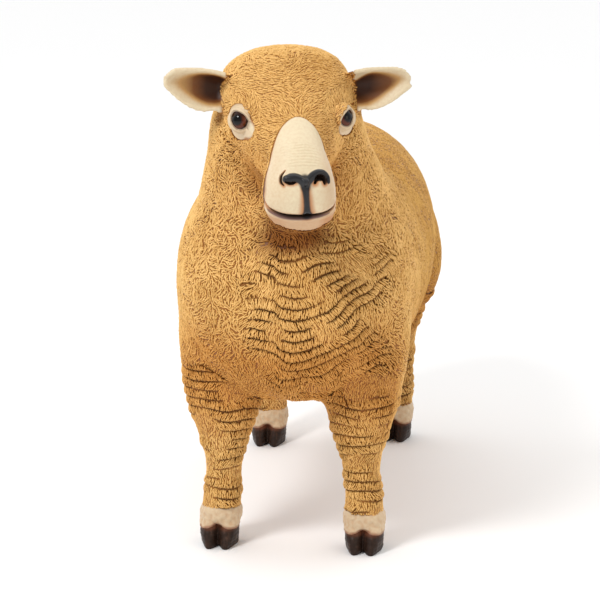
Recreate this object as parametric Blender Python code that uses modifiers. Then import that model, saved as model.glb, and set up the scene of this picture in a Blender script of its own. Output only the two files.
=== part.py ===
"""A life-size painted resin figure of a standing, freshly shorn sheep.

The figure faces -Y, with +Z up and its own left side towards +X. The flesh is modelled
as overlapping clay masses (trunk, neck, head, legs, tail), melted into one skin, and then
parted into the castings that a person would name. Hooves, ears and glass-like eyes are
pieces of their own. Sizes are metres.
"""

import math

import bmesh
import bpy
from mathutils import Matrix, Vector

# Driving sizes of the figure.
WHEELBASE = 0.595  # front hooves to hind hooves, midway between left and right
STRIDE = 0.060  # how far the right hind hoof stands ahead of the left one
TRACK = 0.240  # left hoof to right hoof
GAP = 0.0003  # clearance where two castings meet

FRONT_FOOT_Y = -0.297
CORONET_HEIGHT = 0.042  # where the hair ends and the hoof begins
HOOF_WIDTH = 0.0645

# Where each leg stands, and how far its middle leans in from its foot.
SIDES = {"right": -1, "left": 1}
FEET = {
    ("front", "right"): (TRACK / 2, FRONT_FOOT_Y, 0.006),
    ("front", "left"): (TRACK / 2 + 0.003, FRONT_FOOT_Y, 0.003),
    ("hind", "right"): (TRACK / 2 - 0.004, FRONT_FOOT_Y + WHEELBASE - STRIDE / 2, 0.000),
    ("hind", "left"): (TRACK / 2 - 0.004, FRONT_FOOT_Y + WHEELBASE + STRIDE / 2, 0.000),
}

# The head's own frame: its origin is the top of the poll, -Y runs down the face to the
# nose, +Z is square to the face. It is turned a little to the figure's left.
POLL = Vector((0.006, -0.370, 0.845))
FACE_SLOPE = math.radians(35)
HEAD_TURN = math.radians(14)

EYE_RADIUS = 0.0180
EYE_ALONG, EYE_BELOW, EYE_OUT = 0.102, 0.048, 0.0780

EAR_LENGTH = 0.110
EAR_HEIGHT = 0.073
EAR_LIFT = {-1: 4, 1: 0}  # degrees that each tip stands above its root
EAR_THICKNESS = 0.0055
EAR_ROOT = Vector((0.088, -0.043, -0.043))  # in the head's frame, figure's left side

RING_POINTS = 32
MELT_VOXEL = 0.007
MELT_SMOOTHING = 14
FLESH_TRIANGLES = 4700

COATS = {
    "fleece": ((0.62, 0.40, 0.19), 0.62),
    "bare_skin": ((0.80, 0.70, 0.52), 0.48),
    "horn": ((0.055, 0.040, 0.035), 0.38),
    "eye": ((0.030, 0.012, 0.008), 0.08),
}


def clear_scene():
    for old in list(bpy.data.objects):
        bpy.data.objects.remove(old, do_unlink=True)


def new_collection(name):
    made = bpy.data.collections.new(name)
    bpy.context.scene.collection.children.link(made)
    return made


def paint(name):
    """One plain Principled material for each finish."""
    found = bpy.data.materials.get(name)
    if found:
        return found
    colour, roughness = COATS[name]
    made = bpy.data.materials.new(name)
    made.use_nodes = True
    shader = made.node_tree.nodes["Principled BSDF"]
    shader.inputs["Base Color"].default_value = (*colour, 1)
    shader.inputs["Roughness"].default_value = roughness
    shader.inputs["Metallic"].default_value = 0
    return made


def head_matrix():
    """From the head's own frame to the figure's."""
    turn = Matrix.Rotation(HEAD_TURN, 4, "Z")
    nod = Matrix.Rotation(FACE_SLOPE, 4, "X")
    return Matrix.Translation(POLL) @ turn @ nod


def object_from(bm, name, collection):
    mesh = bpy.data.meshes.new(name)
    bmesh.ops.recalc_face_normals(bm, faces=bm.faces)
    bm.to_mesh(mesh)
    bm.free()
    made = bpy.data.objects.new(name, mesh)
    collection.objects.link(made)
    return made


def catmull_rom(a, b, c, d, t):
    """The value at a share t of the way from b to c, on a curve that also heeds a and d."""
    slope = (c - a) / 2
    bend = a - 2.5 * b + 2 * c - d / 2
    twist = 1.5 * (b - c) + (d - a) / 2
    return b + t * (slope + t * (bend + t * twist))


def smooth_rows(rows, steps):
    """The rows, with smooth steps between each and the next."""
    found = []
    last = len(rows) - 1
    for i in range(last):
        four = rows[max(i - 1, 0)], rows[i], rows[i + 1], rows[min(i + 2, last)]
        for step in range(steps):
            found.append([catmull_rom(a, b, c, d, step / steps) for a, b, c, d in zip(*four)])
    return found + [list(rows[-1])]


def oval(centre, right, up, half_width, rise, drop, square, count=RING_POINTS):
    """Points round a superellipse that may be taller above its centre than below."""
    found = []
    for i in range(count):
        turn = 2 * math.pi * i / count
        c, s = math.cos(turn), math.sin(turn)
        out = math.copysign(abs(c) ** (2 / square), c) * half_width
        high = math.copysign(abs(s) ** (2 / square), s) * (rise if s > 0 else drop)
        found.append(centre + right * out + up * high)
    return found


def loft(name, rings, collection):
    """A closed body through rings of points, with flat ends."""
    bm = bmesh.new()
    rows = [[bm.verts.new(p) for p in ring] for ring in rings]
    for near, far in zip(rows, rows[1:]):
        for i in range(len(near)):
            j = (i + 1) % len(near)
            bm.faces.new((near[i], near[j], far[j], far[i]))
    bm.faces.new(rows[0])
    bm.faces.new(list(reversed(rows[-1])))
    return object_from(bm, name, collection)


def trunk_mass(collection):
    """Stations along Y: (y, centre z, half width, rise, drop, squareness)."""
    stations = [
        (-0.436, 0.425, 0.030, 0.035, 0.040, 2.0),
        (-0.416, 0.426, 0.100, 0.102, 0.098, 2.0),
        (-0.370, 0.434, 0.156, 0.152, 0.155, 2.1),
        (-0.290, 0.442, 0.190, 0.190, 0.187, 2.3),
        (-0.190, 0.444, 0.203, 0.206, 0.192, 2.3),
        (-0.060, 0.440, 0.210, 0.200, 0.197, 2.2),
        (0.070, 0.437, 0.210, 0.201, 0.195, 2.15),
        (0.190, 0.443, 0.200, 0.194, 0.184, 2.05),
        (0.300, 0.453, 0.178, 0.171, 0.168, 2.05),
        (0.385, 0.462, 0.142, 0.130, 0.150, 2.1),
        (0.438, 0.462, 0.086, 0.084, 0.100, 2.0),
        (0.458, 0.460, 0.032, 0.034, 0.040, 2.0),
    ]
    right, up = Vector((1, 0, 0)), Vector((0, 0, 1))
    rings = [
        oval(Vector((0, y, z)), right, up, wide, rise, drop, square)
        for y, z, wide, rise, drop, square in smooth_rows(stations, 4)
    ]
    return loft("trunk_mass", rings, collection)


def neck_mass(collection):
    """Stations up the neck: (x, y, z, half width, depth behind, depth in front)."""
    stations = [
        (0.000, -0.120, 0.440, 0.180, 0.190, 0.195),
        (0.000, -0.205, 0.530, 0.172, 0.172, 0.175),
        (-0.001, -0.258, 0.605, 0.153, 0.136, 0.152),
        (-0.002, -0.300, 0.672, 0.133, 0.108, 0.125),
        (-0.002, -0.332, 0.735, 0.121, 0.090, 0.098),
        (0.000, -0.350, 0.782, 0.098, 0.062, 0.070),
        (0.000, -0.360, 0.805, 0.074, 0.038, 0.050),
    ]
    rows = smooth_rows(stations, 4)
    rings = []
    for i, (x, y, z, wide, behind, before) in enumerate(rows):
        last, following = rows[max(i - 1, 0)], rows[min(i + 1, len(rows) - 1)]
        along = Vector(following[:3]) - Vector(last[:3])
        right = Vector((1, 0, 0))
        back = right.cross(along).normalized() * -1
        rings.append(oval(Vector((x, y, z)), right, back, wide, behind, before, 2.1))
    return loft("neck_mass", rings, collection)


def face_loft(name, stations, square, collection):
    """Stations down the face: (along, centre below the face line, half width, rise, drop)."""
    right, up = Vector((1, 0, 0)), Vector((0, 0, 1))
    rings = [
        oval(Vector((0, -along, -below)), right, up, wide, rise, drop, square)
        for along, below, wide, rise, drop in smooth_rows(stations, 4)
    ]
    made = loft(name, rings, collection)
    made.matrix_world = head_matrix()
    return made


def head_masses(collection):
    """The woolly skull with its cheeks, the bare muzzle, and the lower jaw."""
    skull = [
        (-0.062, 0.100, 0.054, 0.038, 0.046),
        (-0.050, 0.098, 0.082, 0.058, 0.074),
        (-0.025, 0.090, 0.104, 0.083, 0.100),
        (0.015, 0.082, 0.107, 0.096, 0.104),
        (0.055, 0.078, 0.100, 0.089, 0.106),
        (0.095, 0.078, 0.088, 0.082, 0.104),
        (0.130, 0.076, 0.075, 0.075, 0.092),
        (0.160, 0.072, 0.060, 0.066, 0.076),
        (0.182, 0.070, 0.044, 0.056, 0.058),
    ]
    muzzle = [
        (0.085, 0.056, 0.030, 0.052, 0.060),
        (0.140, 0.058, 0.037, 0.057, 0.060),
        (0.190, 0.058, 0.045, 0.060, 0.056),
        (0.225, 0.059, 0.053, 0.058, 0.050),
        (0.252, 0.061, 0.056, 0.051, 0.046),
        (0.272, 0.064, 0.050, 0.043, 0.040),
        (0.284, 0.067, 0.033, 0.026, 0.026),
    ]
    jaw = [
        (0.060, 0.122, 0.050, 0.060, 0.048),
        (0.120, 0.112, 0.049, 0.050, 0.040),
        (0.180, 0.102, 0.047, 0.040, 0.038),
        (0.225, 0.099, 0.048, 0.036, 0.037),
        (0.255, 0.098, 0.046, 0.033, 0.036),
        (0.274, 0.096, 0.036, 0.026, 0.030),
        (0.283, 0.095, 0.020, 0.014, 0.016),
    ]
    made = [face_loft("skull_mass", skull, 2.15, collection)]
    made.append(face_loft("muzzle_mass", muzzle, 2.3, collection))
    made.append(face_loft("jaw_mass", jaw, 2.2, collection))
    return made


def leg_mass(end, side_name, stations, collection):
    """Stations down a leg, from its foot: (z, out, y, half width, depth in front, depth behind)."""
    foot_x, foot_y, lean = FEET[end, side_name]
    right, back = Vector((1, 0, 0)), Vector((0, 1, 0))
    rings = []
    for z, out, y, wide, before, behind in smooth_rows(stations, 3):
        # The lean is most at mid-shin and gone at the foot.
        x = foot_x + out - lean * min((z - 0.03) / 0.10, 1)
        centre = Vector((SIDES[side_name] * x, foot_y + y, z))
        rings.append(oval(centre, right, back, wide, behind, before, 2.2))
    return loft(f"{end}_leg_mass", rings, collection)


def front_leg_mass(side_name, collection):
    stations = [
        (0.480, -0.013, 0.050, 0.070, 0.100, 0.110),
        (0.400, -0.009, 0.036, 0.084, 0.096, 0.102),
        (0.330, -0.006, 0.022, 0.080, 0.080, 0.086),
        (0.270, -0.004, 0.012, 0.068, 0.063, 0.068),
        (0.222, -0.003, 0.004, 0.054, 0.052, 0.050),
        (0.185, -0.003, 0.004, 0.041, 0.043, 0.040),
        (0.150, -0.002, 0.008, 0.033, 0.035, 0.034),
        (0.115, -0.001, 0.010, 0.031, 0.031, 0.033),
        (0.085, 0.000, 0.011, 0.033, 0.034, 0.038),
        (0.060, 0.000, 0.011, 0.035, 0.036, 0.037),
        (0.030, 0.000, 0.013, 0.033, 0.034, 0.034),
    ]
    return leg_mass("front", side_name, stations, collection)


def hind_leg_mass(side_name, collection):
    stations = [
        (0.540, -0.032, -0.060, 0.056, 0.105, 0.115),
        (0.450, -0.010, -0.055, 0.084, 0.128, 0.150),
        (0.370, 0.004, -0.046, 0.087, 0.112, 0.132),
        (0.310, 0.007, -0.026, 0.075, 0.086, 0.098),
        (0.262, 0.004, 0.004, 0.055, 0.060, 0.066),
        (0.222, 0.003, 0.032, 0.041, 0.044, 0.050),
        (0.185, 0.001, 0.038, 0.036, 0.038, 0.042),
        (0.150, 0.000, 0.034, 0.033, 0.034, 0.035),
        (0.115, 0.000, 0.025, 0.033, 0.033, 0.034),
        (0.085, 0.000, 0.016, 0.035, 0.034, 0.038),
        (0.060, 0.000, 0.012, 0.035, 0.036, 0.037),
        (0.030, 0.000, 0.013, 0.033, 0.034, 0.034),
    ]
    return leg_mass("hind", side_name, stations, collection)


def tail_mass(collection):
    """A docked tail lying on the rump: stations (y, z, half width, half depth) down it."""
    stations = [
        (0.385, 0.572, 0.024, 0.022),
        (0.416, 0.566, 0.029, 0.022),
        (0.443, 0.544, 0.031, 0.021),
        (0.460, 0.511, 0.030, 0.020),
        (0.469, 0.470, 0.027, 0.018),
        (0.468, 0.430, 0.016, 0.012),
    ]
    rows = smooth_rows(stations, 2)
    rings = []
    for i, (y, z, wide, deep) in enumerate(rows):
        last, following = rows[max(i - 1, 0)], rows[min(i + 1, len(rows) - 1)]
        along = Vector((0, following[0] - last[0], following[1] - last[1]))
        right = Vector((1, 0, 0))
        out = along.cross(right).normalized()
        rings.append(oval(Vector((0, y, z)), right, out, wide, deep, deep, 2.0, 14))
    return loft("tail_mass", rings, collection)


def baked(obj, name, collection):
    """A copy of the object with its modifiers and place taken into the mesh."""
    bpy.context.view_layer.update()
    graph = bpy.context.evaluated_depsgraph_get()
    mesh = bpy.data.meshes.new_from_object(obj.evaluated_get(graph))
    mesh.transform(obj.matrix_world)
    made = bpy.data.objects.new(name, mesh)
    collection.objects.link(made)
    return made


def joined(masses, name, collection):
    """All the masses as one mesh, still overlapping."""
    bm = bmesh.new()
    for mass in masses:
        mesh = mass.data.copy()
        mesh.transform(mass.matrix_world)
        bm.from_mesh(mesh)
        bpy.data.meshes.remove(mesh)
    mesh = bpy.data.meshes.new(name)
    bm.to_mesh(mesh)
    bm.free()
    made = bpy.data.objects.new(name, mesh)
    collection.objects.link(made)
    return made


def melted(masses, helpers):
    """The masses melted into one smooth closed skin of a few thousand triangles."""
    bpy.context.view_layer.update()
    clay = joined(masses, "clay", helpers)
    remesh = clay.modifiers.new("melt", "REMESH")
    remesh.mode = "VOXEL"
    remesh.voxel_size = MELT_VOXEL
    smooth = clay.modifiers.new("rub", "SMOOTH")
    smooth.factor = 0.5
    smooth.iterations = MELT_SMOOTHING
    fine = baked(clay, "fine_skin", helpers)
    triangles = sum(len(face.vertices) - 2 for face in fine.data.polygons)
    thin = fine.modifiers.new("thin", "DECIMATE")
    thin.ratio = FLESH_TRIANGLES / triangles
    return baked(fine, "whole_skin", helpers)


def half_space(obj, point, normal, name, helpers):
    """What lies on the far side of a plane, closed with a flat face."""
    bm = bmesh.new()
    bm.from_mesh(obj.data)
    bmesh.ops.triangulate(bm, faces=bm.faces)
    inside = Vector(point) + Vector(normal).normalized() * (GAP / 2)
    everything = bm.verts[:] + bm.edges[:] + bm.faces[:]
    bmesh.ops.bisect_plane(bm, geom=everything, plane_co=inside, plane_no=normal, clear_inner=True)
    rim = [edge for edge in bm.edges if edge.is_boundary]
    bmesh.ops.triangle_fill(bm, use_beauty=True, edges=rim)
    return object_from(bm, name, helpers)


def cut(obj, cutter, operation):
    """Adds an exact Boolean."""
    modifier = obj.modifiers.new(operation.lower(), "BOOLEAN")
    modifier.operation = operation
    modifier.object = cutter
    return obj


def hidden(obj):
    obj.hide_render = True
    obj.display_type = "WIRE"
    return obj


def leg_socket(name, centre, radii, grow, helpers):
    """A tall ellipsoid round a leg: the leg's casting is what lies inside it."""
    bpy.ops.mesh.primitive_uv_sphere_add(segments=14, ring_count=10, radius=1, location=centre)
    made = bpy.context.object
    made.name = name
    made.scale = [radius + grow for radius in radii]
    for collection in list(made.users_collection):
        collection.objects.unlink(made)
    helpers.objects.link(made)
    bpy.context.view_layer.update()
    return hidden(baked(made, name + "_cutter", helpers))


# Each leg's socket, from its foot: (out, y), and the ellipsoid's radii.
SOCKETS = {
    "front": ((-0.004, 0.014), (0.112, 0.130, 0.385)),
    "hind": ((0.000, -0.014), (0.112, 0.160, 0.410)),
}


def claw_rings(side, foot_x, foot_y):
    """One claw of a hoof, from its flat sole up to the coronet.

    Stations: (z, share of the full width, toe reach, heel reach).
    """
    stations = [
        (0.000, 0.88, 0.0345, 0.0300),
        (0.005, 0.96, 0.0365, 0.0320),
        (0.022, 1.00, 0.0310, 0.0370),
        (CORONET_HEIGHT - GAP, 1.00, 0.0225, 0.0420),
    ]
    half = HOOF_WIDTH * 0.265
    spread = HOOF_WIDTH / 2 - half
    rings = []
    for z, share, toe, heel in stations:
        ring = []
        for i in range(16):
            turn = 2 * math.pi * i / 16
            c, s = math.cos(turn), math.sin(turn)
            reach = toe if s < 0 else heel
            # The toe narrows to a rounded point.
            taper = 1 - 0.22 * max(-s, 0) ** 2
            x = math.copysign(abs(c) ** 0.9, c) * half * share * taper
            y = math.copysign(abs(s) ** 0.95, s) * reach
            ring.append(Vector((foot_x + side * spread + x, foot_y + y, z)))
        rings.append(ring)
    return rings


def hoof(name, foot_x, foot_y, helpers, pieces):
    """Two claws joined behind their cleft."""
    outer = loft(name + "_outer_claw", claw_rings(1, foot_x, foot_y), helpers)
    inner = loft(name + "_inner_claw", claw_rings(-1, foot_x, foot_y), helpers)
    cut(outer, hidden(inner), "UNION")
    made = baked(outer, name, pieces)
    hidden(outer)
    made.data.materials.append(paint("horn"))
    return made


def ear_edges(s):
    """Heights of the ear's top and bottom edges, at a share s of its length from the root."""
    tip = max(s - 0.80, 0) / 0.20
    top = 0.024 + 0.008 * math.sin(math.pi * s) - 0.014 * tip**2
    belly = math.sin(math.pi / 2 * min((1 - s) / 0.62, 1)) ** 0.75
    return top, top - 0.010 - (EAR_HEIGHT - 0.010) * belly * (0.84 + 0.16 * min(s / 0.35, 1))


def ear_leaf(side, helpers):
    """The cupped leaf of an ear, in the head's frame."""
    along_count, across_count = 8, 6
    bm = bmesh.new()
    grid = []
    for i in range(along_count + 1):
        s = i / along_count
        top, bottom = ear_edges(s)
        cup = 0.030 * (1 - s) ** 0.8 + 0.005
        row = []
        for j in range(across_count + 1):
            a = 2 * j / across_count - 1
            high = (top + bottom) / 2 + a * (top - bottom) / 2
            row.append(bm.verts.new((side * s * EAR_LENGTH, cup * (1 - a * a), high)))
        grid.append(row)
    for near, far in zip(grid, grid[1:]):
        for j in range(across_count):
            bm.faces.new((near[j], near[j + 1], far[j + 1], far[j]))
    made = object_from(bm, "ear_leaf", helpers)
    thick = made.modifiers.new("thickness", "SOLIDIFY")
    thick.thickness = EAR_THICKNESS
    thick.offset = 0
    root = Matrix.Translation(Vector((side * EAR_ROOT.x, EAR_ROOT.y, EAR_ROOT.z)))
    # The ear stands level whatever the face's slope, open to the front and a little down.
    level = Matrix.Rotation(-FACE_SLOPE + math.radians(8), 4, "X")
    sweep = Matrix.Rotation(side * math.radians(4), 4, "Z")
    lift = Matrix.Rotation(side * math.radians(-EAR_LIFT[side]), 4, "Y")
    made.matrix_world = head_matrix() @ root @ level @ sweep @ lift
    return made


def eyeball(name, side, grow, collection):
    place = head_matrix() @ Vector((side * EYE_OUT, -EYE_ALONG, -EYE_BELOW))
    radius = EYE_RADIUS + grow
    bpy.ops.mesh.primitive_uv_sphere_add(segments=14, ring_count=9, radius=radius, location=place)
    made = bpy.context.object
    for old in list(made.users_collection):
        old.objects.unlink(made)
    collection.objects.link(made)
    bpy.context.view_layer.update()
    made.name = name
    return made


def flesh_piece(obj, name, pieces):
    made = baked(obj, name, pieces)
    made.data.materials.clear()
    made.data.materials.append(paint("fleece"))
    return made


def trimmed(blank, neighbour, name, finish, helpers, pieces):
    """The blank less its neighbour and the gap between them."""
    swollen = baked(neighbour, "trimmer", helpers)
    swell = swollen.modifiers.new("gap", "DISPLACE")
    swell.strength = GAP
    swell.mid_level = 0
    trimmer = hidden(baked(swollen, "swollen_trimmer", helpers))
    made = baked(cut(hidden(blank), trimmer, "DIFFERENCE"), name, pieces)
    made.data.materials.clear()
    made.data.materials.append(paint(finish))


def centre_on_floor(pieces):
    """Slides the whole figure so that its box is centred over the origin."""
    bpy.context.view_layer.update()
    corners = [obj.matrix_world @ Vector(corner) for obj in pieces.objects for corner in obj.bound_box]
    for axis in (0, 1):
        middle = (min(c[axis] for c in corners) + max(c[axis] for c in corners)) / 2
        for obj in pieces.objects:
            obj.location[axis] -= middle


def build():
    clear_scene()
    pieces = new_collection("Shorn sheep figure")
    helpers = new_collection("Clay and cutters")
    helpers.hide_render = True

    masses = [trunk_mass(helpers), neck_mass(helpers), *head_masses(helpers)]
    for side_name in SIDES:
        masses += [front_leg_mass(side_name, helpers), hind_leg_mass(side_name, helpers)]
    skin = melted(masses, helpers)

    # Planes that part the skin: a point, and the normal that points to the piece kept.
    behind_jaw = ((0, -0.350, 0.690), (0, -0.80, 0.60))
    neck_root = ((0, -0.300, 0.575), (0, -0.51, 0.86))
    above_hoof = ((0, 0, CORONET_HEIGHT), (0, 0, 1))

    def reverse(plane):
        return plane[0], [-n for n in plane[1]]

    shod = half_space(skin, *above_hoof, "above_hooves", helpers)
    head = half_space(shod, *behind_jaw, "head_solid", helpers)
    rest = half_space(shod, *reverse(behind_jaw), "below_head", helpers)
    neck = half_space(rest, *neck_root, "neck_solid", helpers)
    rest = half_space(rest, *reverse(neck_root), "below_neck", helpers)
    trunk = baked(rest, "trunk_solid", helpers)

    for (end, side_name), (foot_x, foot_y, _) in FEET.items():
        (out, along), radii = SOCKETS[end]
        side = SIDES[side_name]
        place = (side * (foot_x + out), foot_y + along, 0)
        name = f"{end}_{side_name}"
        inner = leg_socket(name + "_socket", place, radii, -GAP / 2, helpers)
        outer = leg_socket(name + "_wall", place, radii, GAP / 2, helpers)
        leg = baked(rest, name + "_leg_solid", helpers)
        flesh_piece(cut(leg, inner, "INTERSECT"), "leg_" + name, pieces)
        cut(trunk, outer, "DIFFERENCE")
        hoof("hoof_" + name, side * foot_x, foot_y + 0.003, helpers, pieces)
    flesh_piece(trunk, "trunk", pieces)
    flesh_piece(neck, "neck", pieces)
    trimmed(tail_mass(helpers), bpy.data.objects["trunk"], "tail", "fleece", helpers, pieces)

    for side_name, side in SIDES.items():
        socket = hidden(eyeball("eye_socket_" + side_name, side, GAP, helpers))
        cut(head, socket, "DIFFERENCE")
        eye = eyeball("eye_" + side_name, side, 0, pieces)
        eye.data.materials.append(paint("eye"))
    flesh_piece(head, "head", pieces)
    for side_name, side in SIDES.items():
        ear = baked(ear_leaf(side, helpers), "ear_blank", helpers)
        neighbours = joined([bpy.data.objects["head"], bpy.data.objects["neck"]], "skull", helpers)
        trimmed(ear, neighbours, "ear_" + side_name, "bare_skin", helpers, pieces)
    centre_on_floor(pieces)


build()
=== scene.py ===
import math

import bmesh
import bpy
import numpy as np
from bpy.props import FloatProperty, FloatVectorProperty, PointerProperty
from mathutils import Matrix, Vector
from mathutils.bvhtree import BVHTree
from mathutils.kdtree import KDTree


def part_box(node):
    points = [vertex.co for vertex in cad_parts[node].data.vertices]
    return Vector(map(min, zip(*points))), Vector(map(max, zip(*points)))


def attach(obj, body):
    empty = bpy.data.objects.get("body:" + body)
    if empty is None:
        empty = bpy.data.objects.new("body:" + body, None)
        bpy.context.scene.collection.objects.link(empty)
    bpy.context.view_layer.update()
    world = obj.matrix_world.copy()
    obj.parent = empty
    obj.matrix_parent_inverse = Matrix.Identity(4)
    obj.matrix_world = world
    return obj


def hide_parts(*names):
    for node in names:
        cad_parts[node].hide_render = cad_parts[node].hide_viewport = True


bl_info = {
    "name": "Painted Sheep Figure",
    "version": (1, 0, 0),
    "blender": (4, 5, 0),
    "location": "View3D > Sidebar > Sheep",
    "description": "Finishes the solids of a life-size cast sheep with one skin, sculpted wool and paint",
    "category": "Object",
}

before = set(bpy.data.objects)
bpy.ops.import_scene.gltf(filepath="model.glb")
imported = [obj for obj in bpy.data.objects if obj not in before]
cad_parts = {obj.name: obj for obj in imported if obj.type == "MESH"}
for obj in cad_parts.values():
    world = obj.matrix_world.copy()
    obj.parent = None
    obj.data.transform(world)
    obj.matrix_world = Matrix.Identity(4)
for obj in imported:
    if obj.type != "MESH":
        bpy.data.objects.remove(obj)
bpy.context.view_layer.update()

# Names of the solids, by what they are made into.
FLESH = (
    "trunk", "neck", "head", "tail", "ear_left", "ear_right",
    "leg_front_left", "leg_front_right", "leg_hind_left", "leg_hind_right",
)
HOOVES = ("hoof_front_left", "hoof_front_right", "hoof_hind_left", "hoof_hind_right")
EYES = {-1: "eye_right", 1: "eye_left"}
EARS = {-1: "ear_right", 1: "ear_left"}

# The head's own frame: across to its left, along down the face, below square into it.
FACE_SLOPE = math.radians(35)
EYE_ALONG, EYE_BELOW = 0.102, 0.048
EYE_RADIUS = 0.0180
EYE_AXIS = np.array((0.48, 0.56, -0.675))
TEAR_DUCT = np.array((-0.605, 0.769, 0.208))
GAZES = {-1: (-0.51, 0.618, -0.599), 1: (0.49, 0.575, -0.655)}
# How far the lids open round each eye: the way round from the tear duct towards the brow, and the reach
# of the opening that way, both in degrees.
OPENINGS = {
    -1: (
        (-150, 45), (-120, 36), (-90, 40), (-60, 48), (-30, 53), (0, 56), (19, 67),
        (42, 54), (65, 47), (95, 44), (122, 46), (147, 55), (170, 67), (190, 57),
    ),
    1: (
        (-160, 42), (-135, 30), (-110, 30), (-88, 38), (-65, 45), (-30, 44), (5, 46),
        (22, 39), (50, 31), (90, 28), (120, 32), (148, 46), (168, 63), (185, 58),
    ),
}
# How far the bare ring reaches round each eye: the same way round, and the reach, in metres.
RIMS = {
    -1: (
        (-166, 0.0350), (-145, 0.0312), (-125, 0.0300), (-105, 0.0298), (-80, 0.0262), (-41, 0.0234),
        (-1, 0.0318), (15, 0.0352), (25, 0.0330), (37, 0.0308), (68, 0.0252), (91, 0.0250),
        (120, 0.0294), (144, 0.0330), (161, 0.0340), (178, 0.0366),
    ),
    1: (
        (-155, 0.0375), (-127, 0.0365), (-107, 0.0330), (-75, 0.0226), (-50, 0.0204), (-26, 0.0205),
        (-4, 0.0215), (14, 0.0190), (42, 0.0168), (70, 0.0174), (94, 0.0186), (119, 0.0218),
        (145, 0.0280), (165, 0.0330), (180, 0.0395),
    ),
}
# The ring's middle, from the eye's: this far towards the tear duct, and this far down.
RIM_ASIDE, RIM_DROP = 0.002, 0.007
PATCH_TOP = 0.1415
PATCH_MIDDLE = 0.003
MUZZLE_MIDDLE = 0.004
# Bare skin above this height is the head's, and below it a leg's.
HEAD_FLOOR = 0.55

# Ears, as the solids have them.
EAR_ROOT = np.array((0.088, 0.043, 0.043))
EAR_LENGTH = 0.110
EAR_HEIGHT = 0.073
EAR_TILT = math.radians(27)
# How far from the middle of the head each ear begins.
EAR_START = 0.104

HOOF_TOP = 0.0345
WOOL_EDGE = 0.0685
VOXEL = 0.0025
THIN_RATIO = 0.185
CHEST_MIDDLE = 0.016
CHEST_HANG = 3.9
BAND_PITCH = 0.0175
DARTS = 760000
# The shares of a stroke ahead of its root and behind it.
STROKE_AHEAD, STROKE_BEHIND = 0.58, 0.42

FLOOR_REACH = 8
LIGHT_AIM = (0, -0.2, 0.5)
CAMERA_PLACE = (0.522, -4.211, 1.45)
CAMERA_TIP, CAMERA_TURN = math.radians(75.6), math.radians(7.285)
CAMERA_LENS = 152.04


# ---------------------------------------------------------------- arrays and meshes


def middle(node):
    low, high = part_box(node)
    return (np.array(low) + np.array(high)) / 2


def unit(vectors):
    return vectors / np.maximum(np.linalg.norm(vectors, axis=-1, keepdims=True), 1e-12)


def fade(low, high, values):
    """Smooth step from 0 at low to 1 at high."""
    t = np.clip((values - low) / (high - low), 0, 1)
    return t * t * (3 - 2 * t)


def blend(a, b, share):
    return a + (b - a) * share


def ripple(points, length, seed):
    """Smooth noise, mostly between -1 and 1, with lumps of the given length."""
    dice = np.random.default_rng(seed)
    waves = unit(dice.normal(size=(9, 3))) * (2 * math.pi / length) * dice.uniform(0.5, 1.1, (9, 1))
    phases = dice.uniform(0, 2 * math.pi, 9)
    return np.sin(points @ waves.T + phases).sum(axis=1) / 3.2


def coordinates(mesh):
    flat = np.empty(len(mesh.vertices) * 3)
    mesh.vertices.foreach_get("co", flat)
    return flat.reshape(-1, 3)


def vertex_normals(mesh):
    flat = np.empty(len(mesh.vertices) * 3)
    mesh.vertex_normals.foreach_get("vector", flat)
    return flat.reshape(-1, 3)


def set_coordinates(mesh, points):
    mesh.vertices.foreach_set("co", np.ascontiguousarray(points, float).ravel())
    mesh.update()


def triangles(mesh):
    mesh.calc_loop_triangles()
    flat = np.empty(len(mesh.loop_triangles) * 3, np.int32)
    mesh.loop_triangles.foreach_get("vertices", flat)
    return flat.reshape(-1, 3)


def mesh_of(name, points, faces):
    """A mesh from arrays, where every face has the same number of corners."""
    mesh = bpy.data.meshes.new(name)
    corners = faces.shape[1]
    mesh.vertices.add(len(points))
    mesh.vertices.foreach_set("co", np.ascontiguousarray(points, np.float32).ravel())
    mesh.loops.add(faces.size)
    mesh.loops.foreach_set("vertex_index", np.ascontiguousarray(faces, np.int32).ravel())
    mesh.polygons.add(len(faces))
    mesh.polygons.foreach_set("loop_start", np.arange(len(faces), dtype=np.int32) * corners)
    mesh.update(calc_edges=True)
    return mesh


def placed(name, mesh):
    """A smooth-shaded object for the mesh."""
    obj = bpy.data.objects.new(name, mesh)
    bpy.context.scene.collection.objects.link(obj)
    smooth_shaded(mesh)
    return obj


def smooth_shaded(mesh):
    mesh.polygons.foreach_set("use_smooth", np.ones(len(mesh.polygons), bool))


def settled(obj):
    """Applies the object's modifiers."""
    graph = bpy.context.evaluated_depsgraph_get()
    made = bpy.data.meshes.new_from_object(obj.evaluated_get(graph))
    old = obj.data
    obj.modifiers.clear()
    obj.data = made
    bpy.data.meshes.remove(old)
    return made


def welded(node):
    """A copy of a node's mesh with the vertices of its flat faces merged."""
    bm = bmesh.new()
    bm.from_mesh(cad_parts[node].data)
    bmesh.ops.remove_doubles(bm, verts=bm.verts, dist=1e-6)
    made = bpy.data.meshes.new("welded")
    bm.to_mesh(made)
    bm.free()
    return made


def joined(nodes, swell=0.0):
    """Points, triangles and owners of several nodes, each swollen so that neighbours overlap."""
    all_points, all_faces, owner, count = [], [], [], 0
    for number, node in enumerate(nodes):
        mesh = welded(node)
        all_points.append(coordinates(mesh) + swell * vertex_normals(mesh))
        faces = triangles(mesh)
        all_faces.append(faces + count)
        owner += [number] * len(faces)
        count += len(mesh.vertices)
        bpy.data.meshes.remove(mesh)
    return np.concatenate(all_points), np.concatenate(all_faces), np.array(owner)


def float_attribute(mesh, name, values):
    layer = mesh.attributes.get(name) or mesh.attributes.new(name, "FLOAT", "POINT")
    layer.data.foreach_set("value", np.ascontiguousarray(values, np.float32))


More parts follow.
